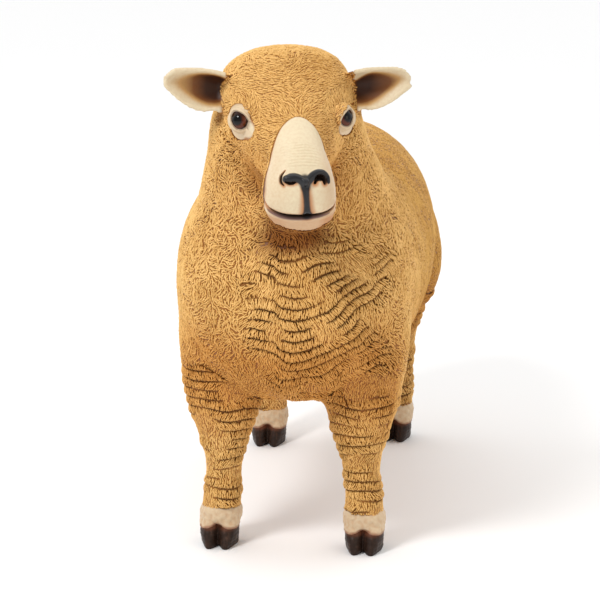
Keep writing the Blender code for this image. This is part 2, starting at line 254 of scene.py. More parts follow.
def strip(a, b, j, j2):
    """The two triangles between corners j and j2 of a ring that starts at a and one that starts at b."""
    return [(a + j, b + j, b + j2), (a + j, b + j2, a + j2)]


def surface_tree(mesh):
    return BVHTree.FromPolygons(coordinates(mesh).tolist(), triangles(mesh).tolist())


def on_surface(tree, points):
    """The nearest points of the surface, and its normals there."""
    found = [tree.find_nearest(Vector(p)) for p in points.tolist()]
    return np.array([f[0] for f in found]), np.array([f[1] for f in found])


def remeshed(obj, size, rounds, share=None):
    """Evens out the mesh at the given size, then smooths it, less where the share is low."""
    remesh = obj.modifiers.new("even", "REMESH")
    remesh.mode = "VOXEL"
    remesh.voxel_size = size
    mesh = settled(obj)
    smooth = obj.modifiers.new("smooth", "SMOOTH")
    smooth.factor = 0.5
    smooth.iterations = rounds
    if share:
        group = obj.vertex_groups.new(name="soften")
        steps = np.ceil(share(coordinates(mesh)) * 12).astype(int)
        for step in np.unique(steps).tolist():
            group.add(np.flatnonzero(steps == step).tolist(), step / 12, "REPLACE")
        smooth.vertex_group = "soften"
    settled(obj)
    obj.vertex_groups.clear()


# ---------------------------------------------------------------- places on the head


def head_frame():
    right, left = middle(EYES[-1]), middle(EYES[1])
    across = unit(left - right)
    ahead = np.cross(across, (0, 0, 1))
    down = ahead * math.cos(FACE_SLOPE) - np.array((0, 0, math.sin(FACE_SLOPE)))
    under = -ahead * math.sin(FACE_SLOPE) - np.array((0, 0, math.cos(FACE_SLOPE)))
    poll = (left + right) / 2 - EYE_ALONG * down - EYE_BELOW * under
    return poll, np.stack((across, down, under))


POLL, HEAD_AXES = head_frame()


def to_head(points):
    return (points - POLL) @ HEAD_AXES.T


def from_head(points):
    return np.asarray(points) @ HEAD_AXES + POLL


def patch_depth(head):
    """How far a point lies inside the bare patch of the face."""
    side, along, below = head.T
    run = np.maximum(along - PATCH_TOP, 0)
    half = 0.0565 * (1 - np.exp(-run / 0.040)) ** 0.66
    half = half + 0.006 * fade(0.20, 0.25, along) * (side < 0)
    off = np.abs(side - PATCH_MIDDLE)
    wide = half - off
    slope = 0.72 - 0.10 * fade(-0.02, 0.02, side)
    chin = np.minimum(along - (0.244 + slope * (below - 0.056)) + 0.009 * fade(0.032, 0.044, off), 0.02)
    upper = np.minimum(wide * 0.9, along - PATCH_TOP)
    jaw = blend(upper, np.minimum(upper, chin), fade(0.045, 0.060, below))
    return np.where(along > PATCH_TOP - 0.03, jaw, -0.03)


def eye_frame(side):
    """Centre of one eye, and its axes: outwards, to the tear duct, and to the brow."""
    mirror = np.array((side, 1, 1))
    out = unit(EYE_AXIS * mirror) @ HEAD_AXES
    duct = unit(TEAR_DUCT * mirror) @ HEAD_AXES
    duct = unit(duct - out * (duct @ out))
    brow = np.cross(out, duct)
    return middle(EYES[side]), out, duct, brow if brow[2] > 0 else -brow


def round_about(angle, stops):
    """The reach of a closed outline each way round, with its corners softened."""
    at, reach = np.array(stops).T
    turns = ((-9, 0.25), (0, 0.5), (9, 0.25))
    return sum(share * np.interp(angle + turn, at, reach, period=360) for turn, share in turns)


def lid_axes(side):
    """The middle of the opening between the lids, and the ways from it to the tear duct and the brow."""
    _, out, duct, brow = eye_frame(side)
    across, up = math.radians(8), math.radians(-5)
    axis = (out * math.cos(across) + duct * math.sin(across)) * math.cos(up) + brow * math.sin(up)
    level = unit(duct - axis * (duct @ axis))
    above = np.cross(axis, level)
    return axis, level, above if above @ brow > 0 else -above


def eye_place(points, side):
    """Where points lie round an eye: level is 1 on the lids' edge, rim is 1 on the edge of the bare ring."""
    centre, _, duct, brow = eye_frame(side)
    axis, across, above = lid_axes(side)
    rel = points - centre
    x, y, ahead = rel @ across, rel @ above, rel @ axis
    turn = np.degrees(np.arctan2(np.hypot(x, y), ahead))
    way = np.degrees(np.arctan2(y, x))
    flat_x, flat_y = rel @ duct - RIM_ASIDE, rel @ brow + RIM_DROP
    rim = np.hypot(flat_x, flat_y) / round_about(np.degrees(np.arctan2(flat_y, flat_x)), RIMS[side])
    return {
        "level": turn / round_about(way, OPENINGS[side]), "height": turn * np.sin(np.radians(way)),
        "rim": np.where(ahead > -0.040, rim, 9.0), "distance": np.linalg.norm(rel, axis=1),
    }


def ear_place(points, side):
    """Share of an ear's length from its root, share of its height, and depth behind its open side."""
    head = to_head(points) * np.array((side, 1, 1)) - EAR_ROOT
    high = -head[:, 2] * math.cos(EAR_TILT) - head[:, 1] * math.sin(EAR_TILT)
    back = -head[:, 1] * math.cos(EAR_TILT) + head[:, 2] * math.sin(EAR_TILT)
    s = head[:, 0] / EAR_LENGTH
    inner = np.clip(s, 0, 1)
    end = np.clip((inner - 0.80) / 0.20, 0, 1)
    top = 0.024 + 0.008 * np.sin(math.pi * inner) - 0.014 * end**2
    belly = np.sin(math.pi / 2 * np.clip((1 - inner) / 0.62, 0, 1)) ** 0.75
    low = top - 0.010 - (EAR_HEIGHT - 0.010) * belly * (0.84 + 0.16 * np.clip(inner / 0.35, 0, 1))
    return s, (high - low) / (top - low), back


def beyond_roots(points):
    """How far outboard of the ears' roots each place lies, and whether it is at an ear's level."""
    head = to_head(points)
    on = (head[:, 1] > 0.0) & (head[:, 1] < 0.085) & (head[:, 2] < 0.12) & (head[:, 2] > -0.01)
    share, high, back = np.where(head[:, 0] > 0, ear_place(points, 1), ear_place(points, -1))
    root = np.abs(head[:, 0]) + 0.007 * fade(0.55, 0.85, high) - 0.005 * (head[:, 0] > 0)
    on = on * fade(0.0385, 0.0345, back)
    return root - EAR_START, on * fade(-0.10, -0.04, high - 0.11 * fade(0.34, 0.16, share))


def near_ears(points):
    """1 on the ears and 0 inboard of them."""
    beyond, on = beyond_roots(points)
    return fade(-0.0020, 0.0025, beyond) * on


# ---------------------------------------------------------------- the skin


def hoof_offset(points):
    """Each point's offset from the middle of its nearest hoof."""
    centres = np.array([middle(name) for name in HOOVES])
    flat = np.linalg.norm(points[:, None, :2] - centres[None, :, :2], axis=2)
    return points - centres[flat.argmin(axis=1)]


def coronet_line(points):
    """Height of the hoof's upper edge under each point: a peak over the cleft, low at the sides."""
    rel = hoof_offset(points)
    across = rel[:, 0]
    front = fade(0.02, -0.02, rel[:, 1])
    peak = 0.0052 * np.exp(-((across / 0.008) ** 2)) * front
    arch = 0.0016 * np.cos(np.clip(np.abs(across) / 0.030, 0, 1) * math.pi) * front
    return HOOF_TOP + peak + arch


def wool_share(points, head):
    """1 where wool covers the skin and 0 where the skin is bare, with the distance in between."""
    bare = patch_depth(head)
    for side in (-1, 1):
        place = eye_place(points, side)
        bare = np.maximum(bare, np.where(place["distance"] < 0.055, (1 - place["rim"]) * 0.026, -0.05))
    bare = np.where(head[:, 1] < 0.02, -0.05, bare)
    edge = WOOL_EDGE + 0.0014 * ripple(points, 0.03, 41)
    bare = np.maximum(bare, np.where(points[:, 2] < 0.12, edge - points[:, 2], -0.05))
    ears = near_ears(points)
    return fade(0.0012, -0.0012, bare) * (1 - ears), bare


def largest_island(mesh):
    """Drops everything but the outermost closed surface."""
    faces = triangles(mesh)
    label = np.arange(len(mesh.vertices))
    while True:
        low = np.minimum.reduce([label[faces[:, 0]], label[faces[:, 1]], label[faces[:, 2]]])
        before = label.copy()
        for corner in range(3):
            np.minimum.at(label, faces[:, corner], low)
        label = label[label]
        if (label == before).all():
            break
    names, counts = np.unique(label, return_counts=True)
    if len(names) == 1:
        return
    drop = label != names[counts.argmax()]
    bm = bmesh.new()
    bm.from_mesh(mesh)
    bm.verts.ensure_lookup_table()
    bmesh.ops.delete(bm, geom=[bm.verts[i] for i in np.flatnonzero(drop)], context="VERTS")
    bm.to_mesh(mesh)
    bm.free()


def softening(points):
    """How far smoothing may move each place: least on the ears, the face and the hooves."""
    face = fade(0.15, 0.19, to_head(points)[:, 1]) * (points[:, 2] > 0.56)
    hoof = fade(0.075, 0.055, points[:, 2])
    return np.clip(1 - 0.42 * near_ears(points) - 0.45 * face - 0.7 * hoof, 0.06, 1)


def ear_shaped(points):
    """Blunts the tips of the ears and draws their lower edges up towards the roots."""
    rise = -HEAD_AXES[2] * math.cos(EAR_TILT) - HEAD_AXES[1] * math.sin(EAR_TILT)
    for side in EARS:
        share, high, _ = ear_place(points, side)
        mine = near_ears(points) > 0
        blunt = 0.0085 * (np.clip(high, 0, 1) - 0.60) * fade(0.62, 0.95, share)
        drawn = 0.0075 * fade(0.42, 0.0, share) * fade(0.6, 0.0, high)
        drawn = drawn + (0.0020 + 0.0024 * fade(0.70, 0.40, share)) * fade(0.5, 0.0, high)
        mine = mine * (to_head(points)[:, 0] * side > 0)
        points = points + rise * ((blunt + drawn) * mine)[:, None]
        points = points - HEAD_AXES[0] * (side * 0.003 * fade(0.5, 1.0, share) * mine)[:, None]
    return points


def cheeked(points):
    """Fills the muzzle out on the figure's right, and the chin on both sides."""
    side, along, below = to_head(points).T
    face = points[:, 2] > HEAD_FLOOR
    full = fade(-0.020, -0.048, side) * fade(0.205, 0.235, along) * fade(0.300, 0.275, along)
    full = full * fade(0.012, 0.035, below) * fade(0.100, 0.080, below) * face
    chin = fade(0.225, 0.255, along) * fade(0.310, 0.290, along)
    chin = chin * fade(0.066, 0.082, below) * fade(0.150, 0.120, below)
    off = side - MUZZLE_MIDDLE
    wider = np.where(off > 0, 0.0085, 0.0035) * fade(0.0, 0.036, np.abs(off)) * np.sign(off)
    return points + HEAD_AXES[0] * (wider * chin * face - 0.0050 * full)[:, None]


def rough_skin():
    """Flesh, eyes and hooves run together at an even density, with the facets smoothed out."""
    points, faces, _ = joined(FLESH + tuple(EYES.values()) + HOOVES, 0.0007)
    points = cheeked(ear_shaped(points))
    obj = placed("skin", mesh_of("skin", points, faces))
    remeshed(obj, VOXEL, 46, softening)
    largest_island(obj.data)
    return obj


def fine_face(points, margin=0.0):
    """The bare face and the eyes' surroundings."""
    head = to_head(points)
    around = patch_depth(head) > -0.008 - margin
    for side in EYES:
        place = eye_place(points, side)
        around |= (place["rim"] < 1.25) & (place["distance"] < 0.052 + margin)
    return around & (head[:, 1] > 0.02) & (points[:, 2] > HEAD_FLOOR)


def finest_face(points):
    """The lids and the nose, which carry the smallest shapes."""
    side, along, below = to_head(points).T
    chosen = (along > 0.240) & (below < 0.034) & (np.abs(side - MUZZLE_MIDDLE) < 0.045)
    chosen &= points[:, 2] > HEAD_FLOOR
    for eye in EYES:
        place = eye_place(points, eye)
        chosen |= (place["level"] < 1.60) & (place["distance"] < 0.032)
    return chosen


def pastern_band(points):
    return (points[:, 2] > 0.028) & (points[:, 2] < WOOL_EDGE + 0.004)


def thinned(obj):
    """Fewer, larger faces where wool will hide the skin; the bare parts stay as fine as they are."""
    points = coordinates(obj.data)
    keep = fine_face(points, 0.004) | (near_ears(points) > 0.5) | pastern_band(points)
    group = obj.vertex_groups.new(name="thin")
    group.add(np.flatnonzero(~keep).tolist(), 1.0, "REPLACE")
    thin = obj.modifiers.new("thin", "DECIMATE")
    thin.vertex_group = "thin"
    thin.ratio = THIN_RATIO
    settled(obj)
    obj.vertex_groups.clear()


def refined(obj, chooser):
    """Twice the density where the chooser says."""
    bm = bmesh.new()
    bm.from_mesh(obj.data)
    chosen = chooser(coordinates(obj.data))
    bm.verts.ensure_lookup_table()
    edges = [e for e in bm.edges if chosen[e.verts[0].index] and chosen[e.verts[1].index]]
    bmesh.ops.subdivide_edges(bm, edges=edges, cuts=1, use_grid_fill=True, smooth=0.5)
    bmesh.ops.triangulate(bm, faces=[f for f in bm.faces if len(f.verts) > 4])
    bm.to_mesh(obj.data)
    bm.free()


def course(tree, stops, count=24):
    """A smooth run of points on the skin through a few stops in the head's frame."""
    stops = np.array(stops, float)
    ends = np.concatenate((2 * stops[:1] - stops[1:2], stops, 2 * stops[-1:] - stops[-2:-1]))
    run = []
    for u in np.linspace(0, len(stops) - 1 - 1e-9, count):
        i, t = int(u), u - int(u)
        a, b, c, d = ends[i : i + 4]
        square, cube = 2 * a - 5 * b + 4 * c - d, 3 * b - a - 3 * c + d
        run.append(0.5 * (2 * b + (c - a) * t + square * t**2 + cube * t**3))
    return on_surface(tree, from_head(np.array(run)))[0]


def reach(points, run):
    """Distance of each point from a run of points, and how far along the run its nearest place is."""
    best = np.full(len(points), 1e9)
    share = np.zeros(len(points))
    for i, (a, b) in enumerate(zip(run, run[1:])):
        step = b - a
        t = np.clip((points - a) @ step / max(step @ step, 1e-12), 0, 1)
        gap = np.linalg.norm(points - a - t[:, None] * step, axis=1)
        closer = gap < best
        best[closer] = gap[closer]
        share[closer] = (i + t[closer]) / (len(run) - 1)
    return best, share


# Runs of the nose and the mouth over the head, as (across, along, below).
CRESCENT = (
    (-0.0258, 0.2455, 0.0130), (-0.0318, 0.2510, 0.0180), (-0.0330, 0.2600, 0.0220),
    (-0.0295, 0.2655, 0.0238),
)
SLIT = (
    (-0.0258, 0.2628, 0.0206), (-0.0208, 0.2652, 0.0205), (-0.0160, 0.2656, 0.0197),
    (-0.0120, 0.2650, 0.0190),
)
NOSTRIL_LEFT = (
    (0.0175, 0.2655, 0.0200), (0.0205, 0.2600, 0.0176), (0.0265, 0.2575, 0.0172),
    (0.0315, 0.2580, 0.0195), (0.0335, 0.2630, 0.0235),
)
WING_RIGHT = (
    (-0.0245, 0.2590, 0.0180), (-0.0185, 0.2592, 0.0163), (-0.0120, 0.2595, 0.0153),
    (-0.0050, 0.2618, 0.0158), (0.0005, 0.2660, 0.0180),
)
WING_LEFT = (
    (0.0045, 0.2660, 0.0182), (0.0100, 0.2610, 0.0160), (0.0160, 0.2550, 0.0148),
    (0.0235, 0.2508, 0.0145), (0.0315, 0.2495, 0.0175), (0.0366, 0.2530, 0.0215),
    (0.0374, 0.2600, 0.0255),
)
STEM = (
    (0.0025, 0.2650, 0.0175), (0.0030, 0.2725, 0.0250), (0.0045, 0.2800, 0.0380),
    (0.0062, 0.2835, 0.0560), (0.0072, 0.2837, 0.0690),
)
MOUTH = (
    (-0.0600, 0.2495, 0.0525), (-0.0590, 0.2560, 0.0565), (-0.0565, 0.2630, 0.0602),
    (-0.0510, 0.2705, 0.0632), (-0.0425, 0.2765, 0.0660), (-0.0335, 0.2815, 0.0685),
    (-0.0185, 0.2838, 0.0712), (-0.0045, 0.2838, 0.0722), (0.0075, 0.2838, 0.0720),
    (0.0260, 0.2830, 0.0700), (0.0400, 0.2775, 0.0682), (0.0480, 0.2705, 0.0658),
    (0.0515, 0.2640, 0.0640),
)
CORNER = ((-0.0600, 0.2525, 0.0548), (-0.0590, 0.2575, 0.0575))

# Ridges and grooves: run, radii from its start to its end, push outwards, and how full the section is.
FORMS = (
    (WING_RIGHT, (0.0090, 0.0112, 0.0100, 0.0088, 0.0080), 0.0066, 0.75),
    (WING_LEFT, (0.0080, 0.0086, 0.0088, 0.0084, 0.0076, 0.0058, 0.0042), 0.0056, 0.75),
    (((-0.0365, 0.250, 0.020), (-0.0375, 0.260, 0.0255)), (0.0065, 0.0065), 0.0012, 1.0),
    (CRESCENT, (0.0008, 0.0022, 0.0030, 0.0026, 0.0012), -0.0046, 0.8),
    (SLIT, (0.0018, 0.0029, 0.0029, 0.0016), -0.0050, 0.8),
    (NOSTRIL_LEFT, (0.0024, 0.0044, 0.0056, 0.0052, 0.0028), -0.0076, 0.8),
    (STEM, (0.0040, 0.0036, 0.0034, 0.0038, 0.0050), -0.0016, 1.0),
    (tuple((s, a - 0.001, b - 0.010) for s, a, b in MOUTH[1:-1]),
     (0.004, 0.010, 0.012, 0.012, 0.010, 0.004), 0.0018, 1.0),
    (tuple((s, a - 0.003, b + 0.0085) for s, a, b in MOUTH[1:-1]),
     (0.003, 0.006, 0.0075, 0.0075, 0.006, 0.003), 0.0020, 1.0),
    (MOUTH, (0.0020, 0.0028, 0.0036, 0.0046, 0.0054, 0.0052, 0.0044, 0.0032, 0.0020), -0.0066, 0.75),
    (CORNER, (0.0035, 0.0042), -0.0034, 1.0),
)

# Paint laid along the same runs: mask, run, radii, and softness of its edge.
PAINTS = (
    ("charcoal", WING_RIGHT, (0.0062, 0.0082, 0.0076, 0.0068, 0.0072), 0.18),
    ("charcoal", WING_LEFT, (0.0070, 0.0064, 0.0062, 0.0058, 0.0050, 0.0040, 0.0028), 0.20),
    ("charcoal", STEM, (0.0112, 0.0080, 0.0055, 0.0047, 0.0048, 0.0058, 0.0092), 0.30),
    ("wash", CRESCENT, (0.0002, 0.0013, 0.0020, 0.0017, 0.0006), 0.55),
    ("wash", SLIT, (0.0014, 0.0022, 0.0022, 0.0012), 0.45),
    ("wash", NOSTRIL_LEFT, (0.0020, 0.0040, 0.0052, 0.0048, 0.0026), 0.35),
    ("wash", MOUTH, (0.0008, 0.0012, 0.0019, 0.0032, 0.0044, 0.0044, 0.0034, 0.0024, 0.0012), 0.40),
    ("wash", CORNER, (0.0022, 0.0028), 0.45),
    ("blush_and_shade", CRESCENT, (0.0012, 0.0036), 0.8),
    ("blush_and_shade", SLIT, (0.0040, 0.0044), 0.8),
    ("blush_and_shade", NOSTRIL_LEFT, (0.0060, 0.0060), 0.6),
    ("blush_and_shade", STEM, (0.0060, 0.0078, 0.0090, 0.0105, 0.0140), 0.50),
    ("blush_and_shade", MOUTH, (0.0034, 0.0050, 0.0062, 0.0062, 0.0050, 0.0034), 0.7),
    ("lip", tuple((s, a - 0.0022, b + 0.0042) for s, a, b in MOUTH[2:-2]),
     (0.0006, 0.0014, 0.0026, 0.0030, 0.0024, 0.0010), 0.6),
)
MASKS = ("charcoal", "blush_and_shade", "lip", "lid", "wash", "hollow", "coronet")


def along_run(tree, points, stops, radii):
    """Distance from a run over the skin, in units of its radius there."""
    gap, share = reach(points, course(tree, stops))
    return gap / np.interp(share, np.linspace(0, 1, len(radii)), radii)


def nosed(tree, points, normals, masks):
    """Raises the nose and lips, cuts the nostrils and the mouth, and lays the paint along them."""
    head = to_head(points)
    face = (head[:, 1] > 0.20) & (points[:, 2] > HEAD_FLOOR)
    local = points[face]
    lift = np.zeros(len(local))
    for stops, radii, push, full in FORMS:
        ratio = along_run(tree, local, stops, radii)
        lift += push * fade(1, 0, ratio) ** full
    # Fine creases over the bridge, bowed down the face.
    side, along, below = head[face].T
    bridge = fade(0.195, 0.21, along) * fade(0.248, 0.236, along)
    bridge = bridge * fade(0.034, 0.018, np.abs(side)) * (below < 0.03)
    crease = np.sin((along + 2.2 * side**2 + 0.0006 * ripple(local, 0.02, 61)) * 2 * math.pi / 0.0052)
    lift += 0.00050 * bridge * crease
    for name, stops, radii, soft in PAINTS:
        ratio = along_run(tree, local, stops, radii)
        masks[name][face] = np.maximum(masks[name][face], fade(1 + soft, 1 - soft, ratio))
    points[face] = local + normals[face] * lift[:, None]
    return points


def lidded(points, masks):
    """Folds the skin over each eyeball and opens it between the lids."""
    for side in EYES:
        centre, axis = middle(EYES[side]), lid_axes(side)[0]
        place = eye_place(points, side)
        close = place["distance"] < 0.041
        here = points[close]
        level, tall, distance = place["level"][close], place["height"][close], place["distance"][close]
        direction = unit(here - centre)
        # Points near the lids' edge slide onto it, so that the edge is one clean line.
        pull = fade(0.037, 0.026, distance)
        slide = (1 / np.maximum(level, 0.2) - 1) * fade(0.08, 0.02, np.abs(level - 1)) * pull
        direction = unit(direction + slide[:, None] * (direction - axis * (direction @ axis)[:, None]))
        upper = fade(-8, 12, tall)
        lid = EYE_RADIUS + blend(0.0016, 0.0021, upper)
        lid = lid + 0.0013 * fade(1.0, 1.13, level) - 0.0012 * np.exp(-(((level - 1.27) / 0.04) ** 2))
        lid = lid + 0.0009 * fade(1.29, 1.40, level)
        lid = lid - 0.0005 * np.exp(-(((level - 1.46) / 0.035) ** 2)) * (1 - upper)
        fold = blend(np.maximum(distance, lid), lid, fade(1.9, 1.4, level))
        radius = np.where(level < 0.985, EYE_RADIUS * 0.985, fold)
        radius = np.where(level < 0.93, EYE_RADIUS * 0.90, radius)
        points[close] = centre + direction * blend(distance, radius, pull)[:, None]
        edge = fade(1.035, 1.0, level) * fade(0.3, 0.8, pull)
        masks["lid"][close] = np.maximum(masks["lid"][close], edge)
        ring = 0.20 * fade(1.15, 0.95, place["rim"]) * (place["distance"] < 0.050)
        masks["blush_and_shade"] = np.maximum(masks["blush_and_shade"], ring * (1 - fade(1.0, 0.98, place["level"])))
    return points


def eared(points, normals, masks):
    """Rolls the rim of each ear and paints its hollow."""
    for side in EARS:
        share, high, _ = ear_place(points, side)
        mine = (near_ears(points) > 0) & (points @ HEAD_AXES[0] * side > POLL @ HEAD_AXES[0] * side)
        turned = normals @ HEAD_AXES.T
        facing = turned[:, 1] * math.cos(EAR_TILT) - turned[:, 2] * math.sin(EAR_TILT)
        rim = np.maximum(np.exp(-(((high - 0.97) / 0.10) ** 2)), np.exp(-(((high - 0.04) / 0.09) ** 2)))
        rim = np.maximum(rim, np.exp(-(((share - 0.97) / 0.07) ** 2)))
        points = points + normals * (0.0010 * rim * mine * fade(0.0, 0.3, facing))[:, None]
        run = np.where(share < 0.27, 0.37, 0.62)
        level, fading = (0.55, 0.68) if side < 0 else (0.49, 0.46)
        lowered = level + 0.09 * share
        lowered = lowered - 0.32 * (side > 0) * fade(0.42, 0.04, share) * fade(0.4, 0.7, high)
        oval = np.sqrt(((share - 0.27) / run) ** 2 + ((high - lowered) / 0.395) ** 2)
        dark = 1.15 * fade(1.10, 0.62, oval) * (1 - fading * fade(0.20, 0.74, share))
        dark = dark * (1 - 0.25 * fade(0.45, 0.20, high))
        masks["hollow"] = np.maximum(masks["hollow"], dark * mine * fade(-0.1, 0.25, facing))
    return points


def footed(points, masks):
    """Ends the skin in a clean line over each hoof, tucked in below it, and puffs it out above."""
    line = coronet_line(points)
    rel = hoof_offset(points)
    low = points[:, 2] < WOOL_EDGE + 0.010
    outward = np.zeros_like(points)
    outward[:, :2] = unit(rel[:, :2])
    drop = points[:, 2] - line
    near = fade(0.0013, 0.0007, np.abs(drop)) * low
    points[:, 2] = points[:, 2] - drop * near
    tuck = fade(-0.0002, -0.0012, drop * (1 - near)) * low
    share = np.clip(drop / (WOOL_EDGE - line), 0, 1)
    puff = np.sin(math.pi * np.clip(share * 0.9 + 0.1, 0, 1)) ** 0.7 * low * (share < 1) * (1 - tuck)
    crinkle = 0.00080 * ripple(points * np.array((1, 1, 0.55)), 0.0058, 71) * puff
    points = points + outward * (0.0016 * puff + crinkle - 0.007 * tuck)[:, None]
    points[:, 2] = np.where(low & (tuck > 0.5), np.maximum(points[:, 2], 0.014), points[:, 2])
    pink = 0.26 * fade(WOOL_EDGE + 0.002, WOOL_EDGE - 0.002, points[:, 2])
    pink = pink + 0.18 * fade(-0.2, 0.8, -crinkle / 0.0008)
    masks["blush_and_shade"] = np.maximum(masks["blush_and_shade"], pink * low * (points[:, 2] < WOOL_EDGE + 0.004))
    masks["coronet"] = fade(0.0052, 0.0008, drop + 0.0008 * ripple(points, 0.012, 73)) * low
    return points


def sculpted(obj, wool_depth):
    """Sinks the skin under the wool, then models the feet, the ears, the nose, the mouth and the lids."""
    mesh = obj.data
    points, normals = coordinates(mesh), vertex_normals(mesh)
    wool, bare = wool_share(points, to_head(points))
    masks = {name: np.zeros(len(points)) for name in MASKS}
    legs = fade(0.26, 0.20, points[:, 2])
    points = points - normals * (wool_depth * blend(1, 0.67, legs) * wool)[:, None]
    # The bare skin dips a little along the edge of the wool.
    rim = fade(-0.001, 0.001, bare) * fade(0.010, 0.001, bare) * (1 - near_ears(points))
    points = points - normals * (0.0016 * rim)[:, None]
    side, along, below = to_head(points).T
    face = (1 - wool) * (points[:, 2] > 0.5) * (1 - near_ears(points))
    # Painted shade on the bare face along the sides of the muzzle, stronger on its left, and on the chin,
    # with an airbrushed line along the edge of the wool.
    shaded = blend(0.14, 0.32, fade(-0.01, 0.02, side)) * fade(0.018, 0.040, np.abs(side - PATCH_MIDDLE))
    shaded = shaded + 0.58 * fade(0.066, 0.086, below)
    edge = fade(0.0040, 0.0, bare) * (patch_depth(to_head(points)) > -0.002) + 0.6 * fade(0.0012, 0.0, bare)
    shaded = shaded * fade(0.17, 0.22, along) + 0.55 * np.minimum(edge, 1)
    masks["blush_and_shade"] = np.maximum(masks["blush_and_shade"], shaded * face)
    points = footed(points, masks)
    points = eared(points, normals, masks)
    points = nosed(surface_tree(mesh), points, normals, masks)
    points = lidded(points, masks)
    set_coordinates(mesh, points)
    masks["wool"] = wool
    for name, values in masks.items():
        float_attribute(mesh, name, values)
    for name, values in markings(points, normals).items():
        float_attribute(mesh, name, values)


def markings(points, normals):
    """Tints and painted shade that the skin and the wool share: an orange-brown tint low on the chest with
    warm painted shade under the chin and on surfaces that face down, olive painted shade where the flanks
    face sideways, painted shade below the ears' roots, a deeper wash in the cheeks, and a painted shadow
    below the chin."""
    _, y, z = points.T
    side, along, below = to_head(points).T
    front = fade(0.10, 0.60, -normals[:, 1])
    # Warm: an orange-brown tint low on the chest, and warm painted shade under the jaw and on surfaces that
    # face down.
    low_chest = fade(0.45, 0.30, z) * fade(0.20, 0.27, z) * front * (y < -0.15)
    throat = fade(0.14, 0.03, np.abs(side)) * fade(0.085, 0.115, below)
    throat = throat * fade(0.20, 0.13, below) * fade(0.10, 0.18, along)
    beneath = fade(0.1, -0.7, normals[:, 2]) * (z > 0.2)
    warm_shade = np.clip(0.75 * low_chest + 1.0 * throat + 0.9 * beneath, 0, 1)
    # Olive-tinted painted shade where the flanks face sideways and back.
    sideways = np.abs(normals[:, 0]) + 0.3 * normals[:, 1]
    flank_shade = fade(-0.22, 0.02, y) * fade(0.15, 0.35, z) * fade(0.05, 0.5, sideways)
    # Painted shade in the hollow below each ear's root.
    dusk = np.zeros(len(points))
    for ear in EARS:
        gap = np.linalg.norm(np.stack((side * ear - EAR_START, along - 0.045, below - 0.097), axis=1), axis=1)
        dusk = np.maximum(dusk, fade(0.020, 0.006, gap))
    deep = 0.95 * fade(-0.072, -0.012, patch_depth(to_head(points)))
    deep = deep * fade(0.024, 0.058, below) * (along > 0.08)
    beard = np.hypot((side - 0.008) / 0.062, (along - 0.186) / 0.036)
    shade = fade(1.25, 0.50, beard) * fade(0.12, 0.18, below) + 0.7 * throat
    return {"warm_shade": warm_shade, "flank_shade": flank_shade, "dusk": dusk, "deep": deep, "shade": np.clip(shade, 0, 1)}


# ---------------------------------------------------------------- the wool


def node_map():
    """One tree over all the flesh nodes, and the node of each of its faces."""
    points, faces, owner = joined(FLESH)
    return BVHTree.FromPolygons(points.tolist(), faces.tolist()), owner


def scattered(mesh, weight, count, seed):
    """Random places on the mesh, with their normals, where the weight says how densely they fall."""
    faces = triangles(mesh)
    points, normals = coordinates(mesh), vertex_normals(mesh)
    corners = points[faces]
    area = np.linalg.norm(np.cross(corners[:, 1] - corners[:, 0], corners[:, 2] - corners[:, 0]), axis=1)
    odds = area * weight[faces].mean(axis=1)
    dice = np.random.default_rng(seed)
    picked = np.searchsorted(np.cumsum(odds), dice.uniform(0, odds.sum(), count))
    u, v = dice.uniform(size=(2, count))
    turn = u + v > 1
    u[turn], v[turn] = 1 - u[turn], 1 - v[turn]
    share = np.stack((1 - u - v, u, v), axis=1)[:, :, None]
    return (corners[picked] * share).sum(axis=1), unit((normals[faces[picked]] * share).sum(axis=1))


def zones(points, normals, head, node):
    """How much each place belongs to the chest, the legs and the head."""
    x, _, z = points.T
    number = {name: k for k, name in enumerate(FLESH)}
    is_leg = np.isin(node, [number[n] for n in FLESH if n.startswith("leg")])
    front = fade(0.05, 0.45, -normals[:, 1])
    off = x - CHEST_MIDDLE + 0.012 * ripple(points, 0.07, 19)
    chest = front * fade(0.57, 0.50, z) * fade(0.25, 0.28, z)
    chest = chest * fade(-0.085, -0.045, off) * fade(0.165, 0.115, off)
    chest = np.where(is_leg, 0, chest)
    leg = np.where(is_leg, fade(0.42, 0.34, z), 0)
    skull = fade(-0.12, -0.08, head[:, 1]) * (node == number["head"])
    return chest, leg, skull


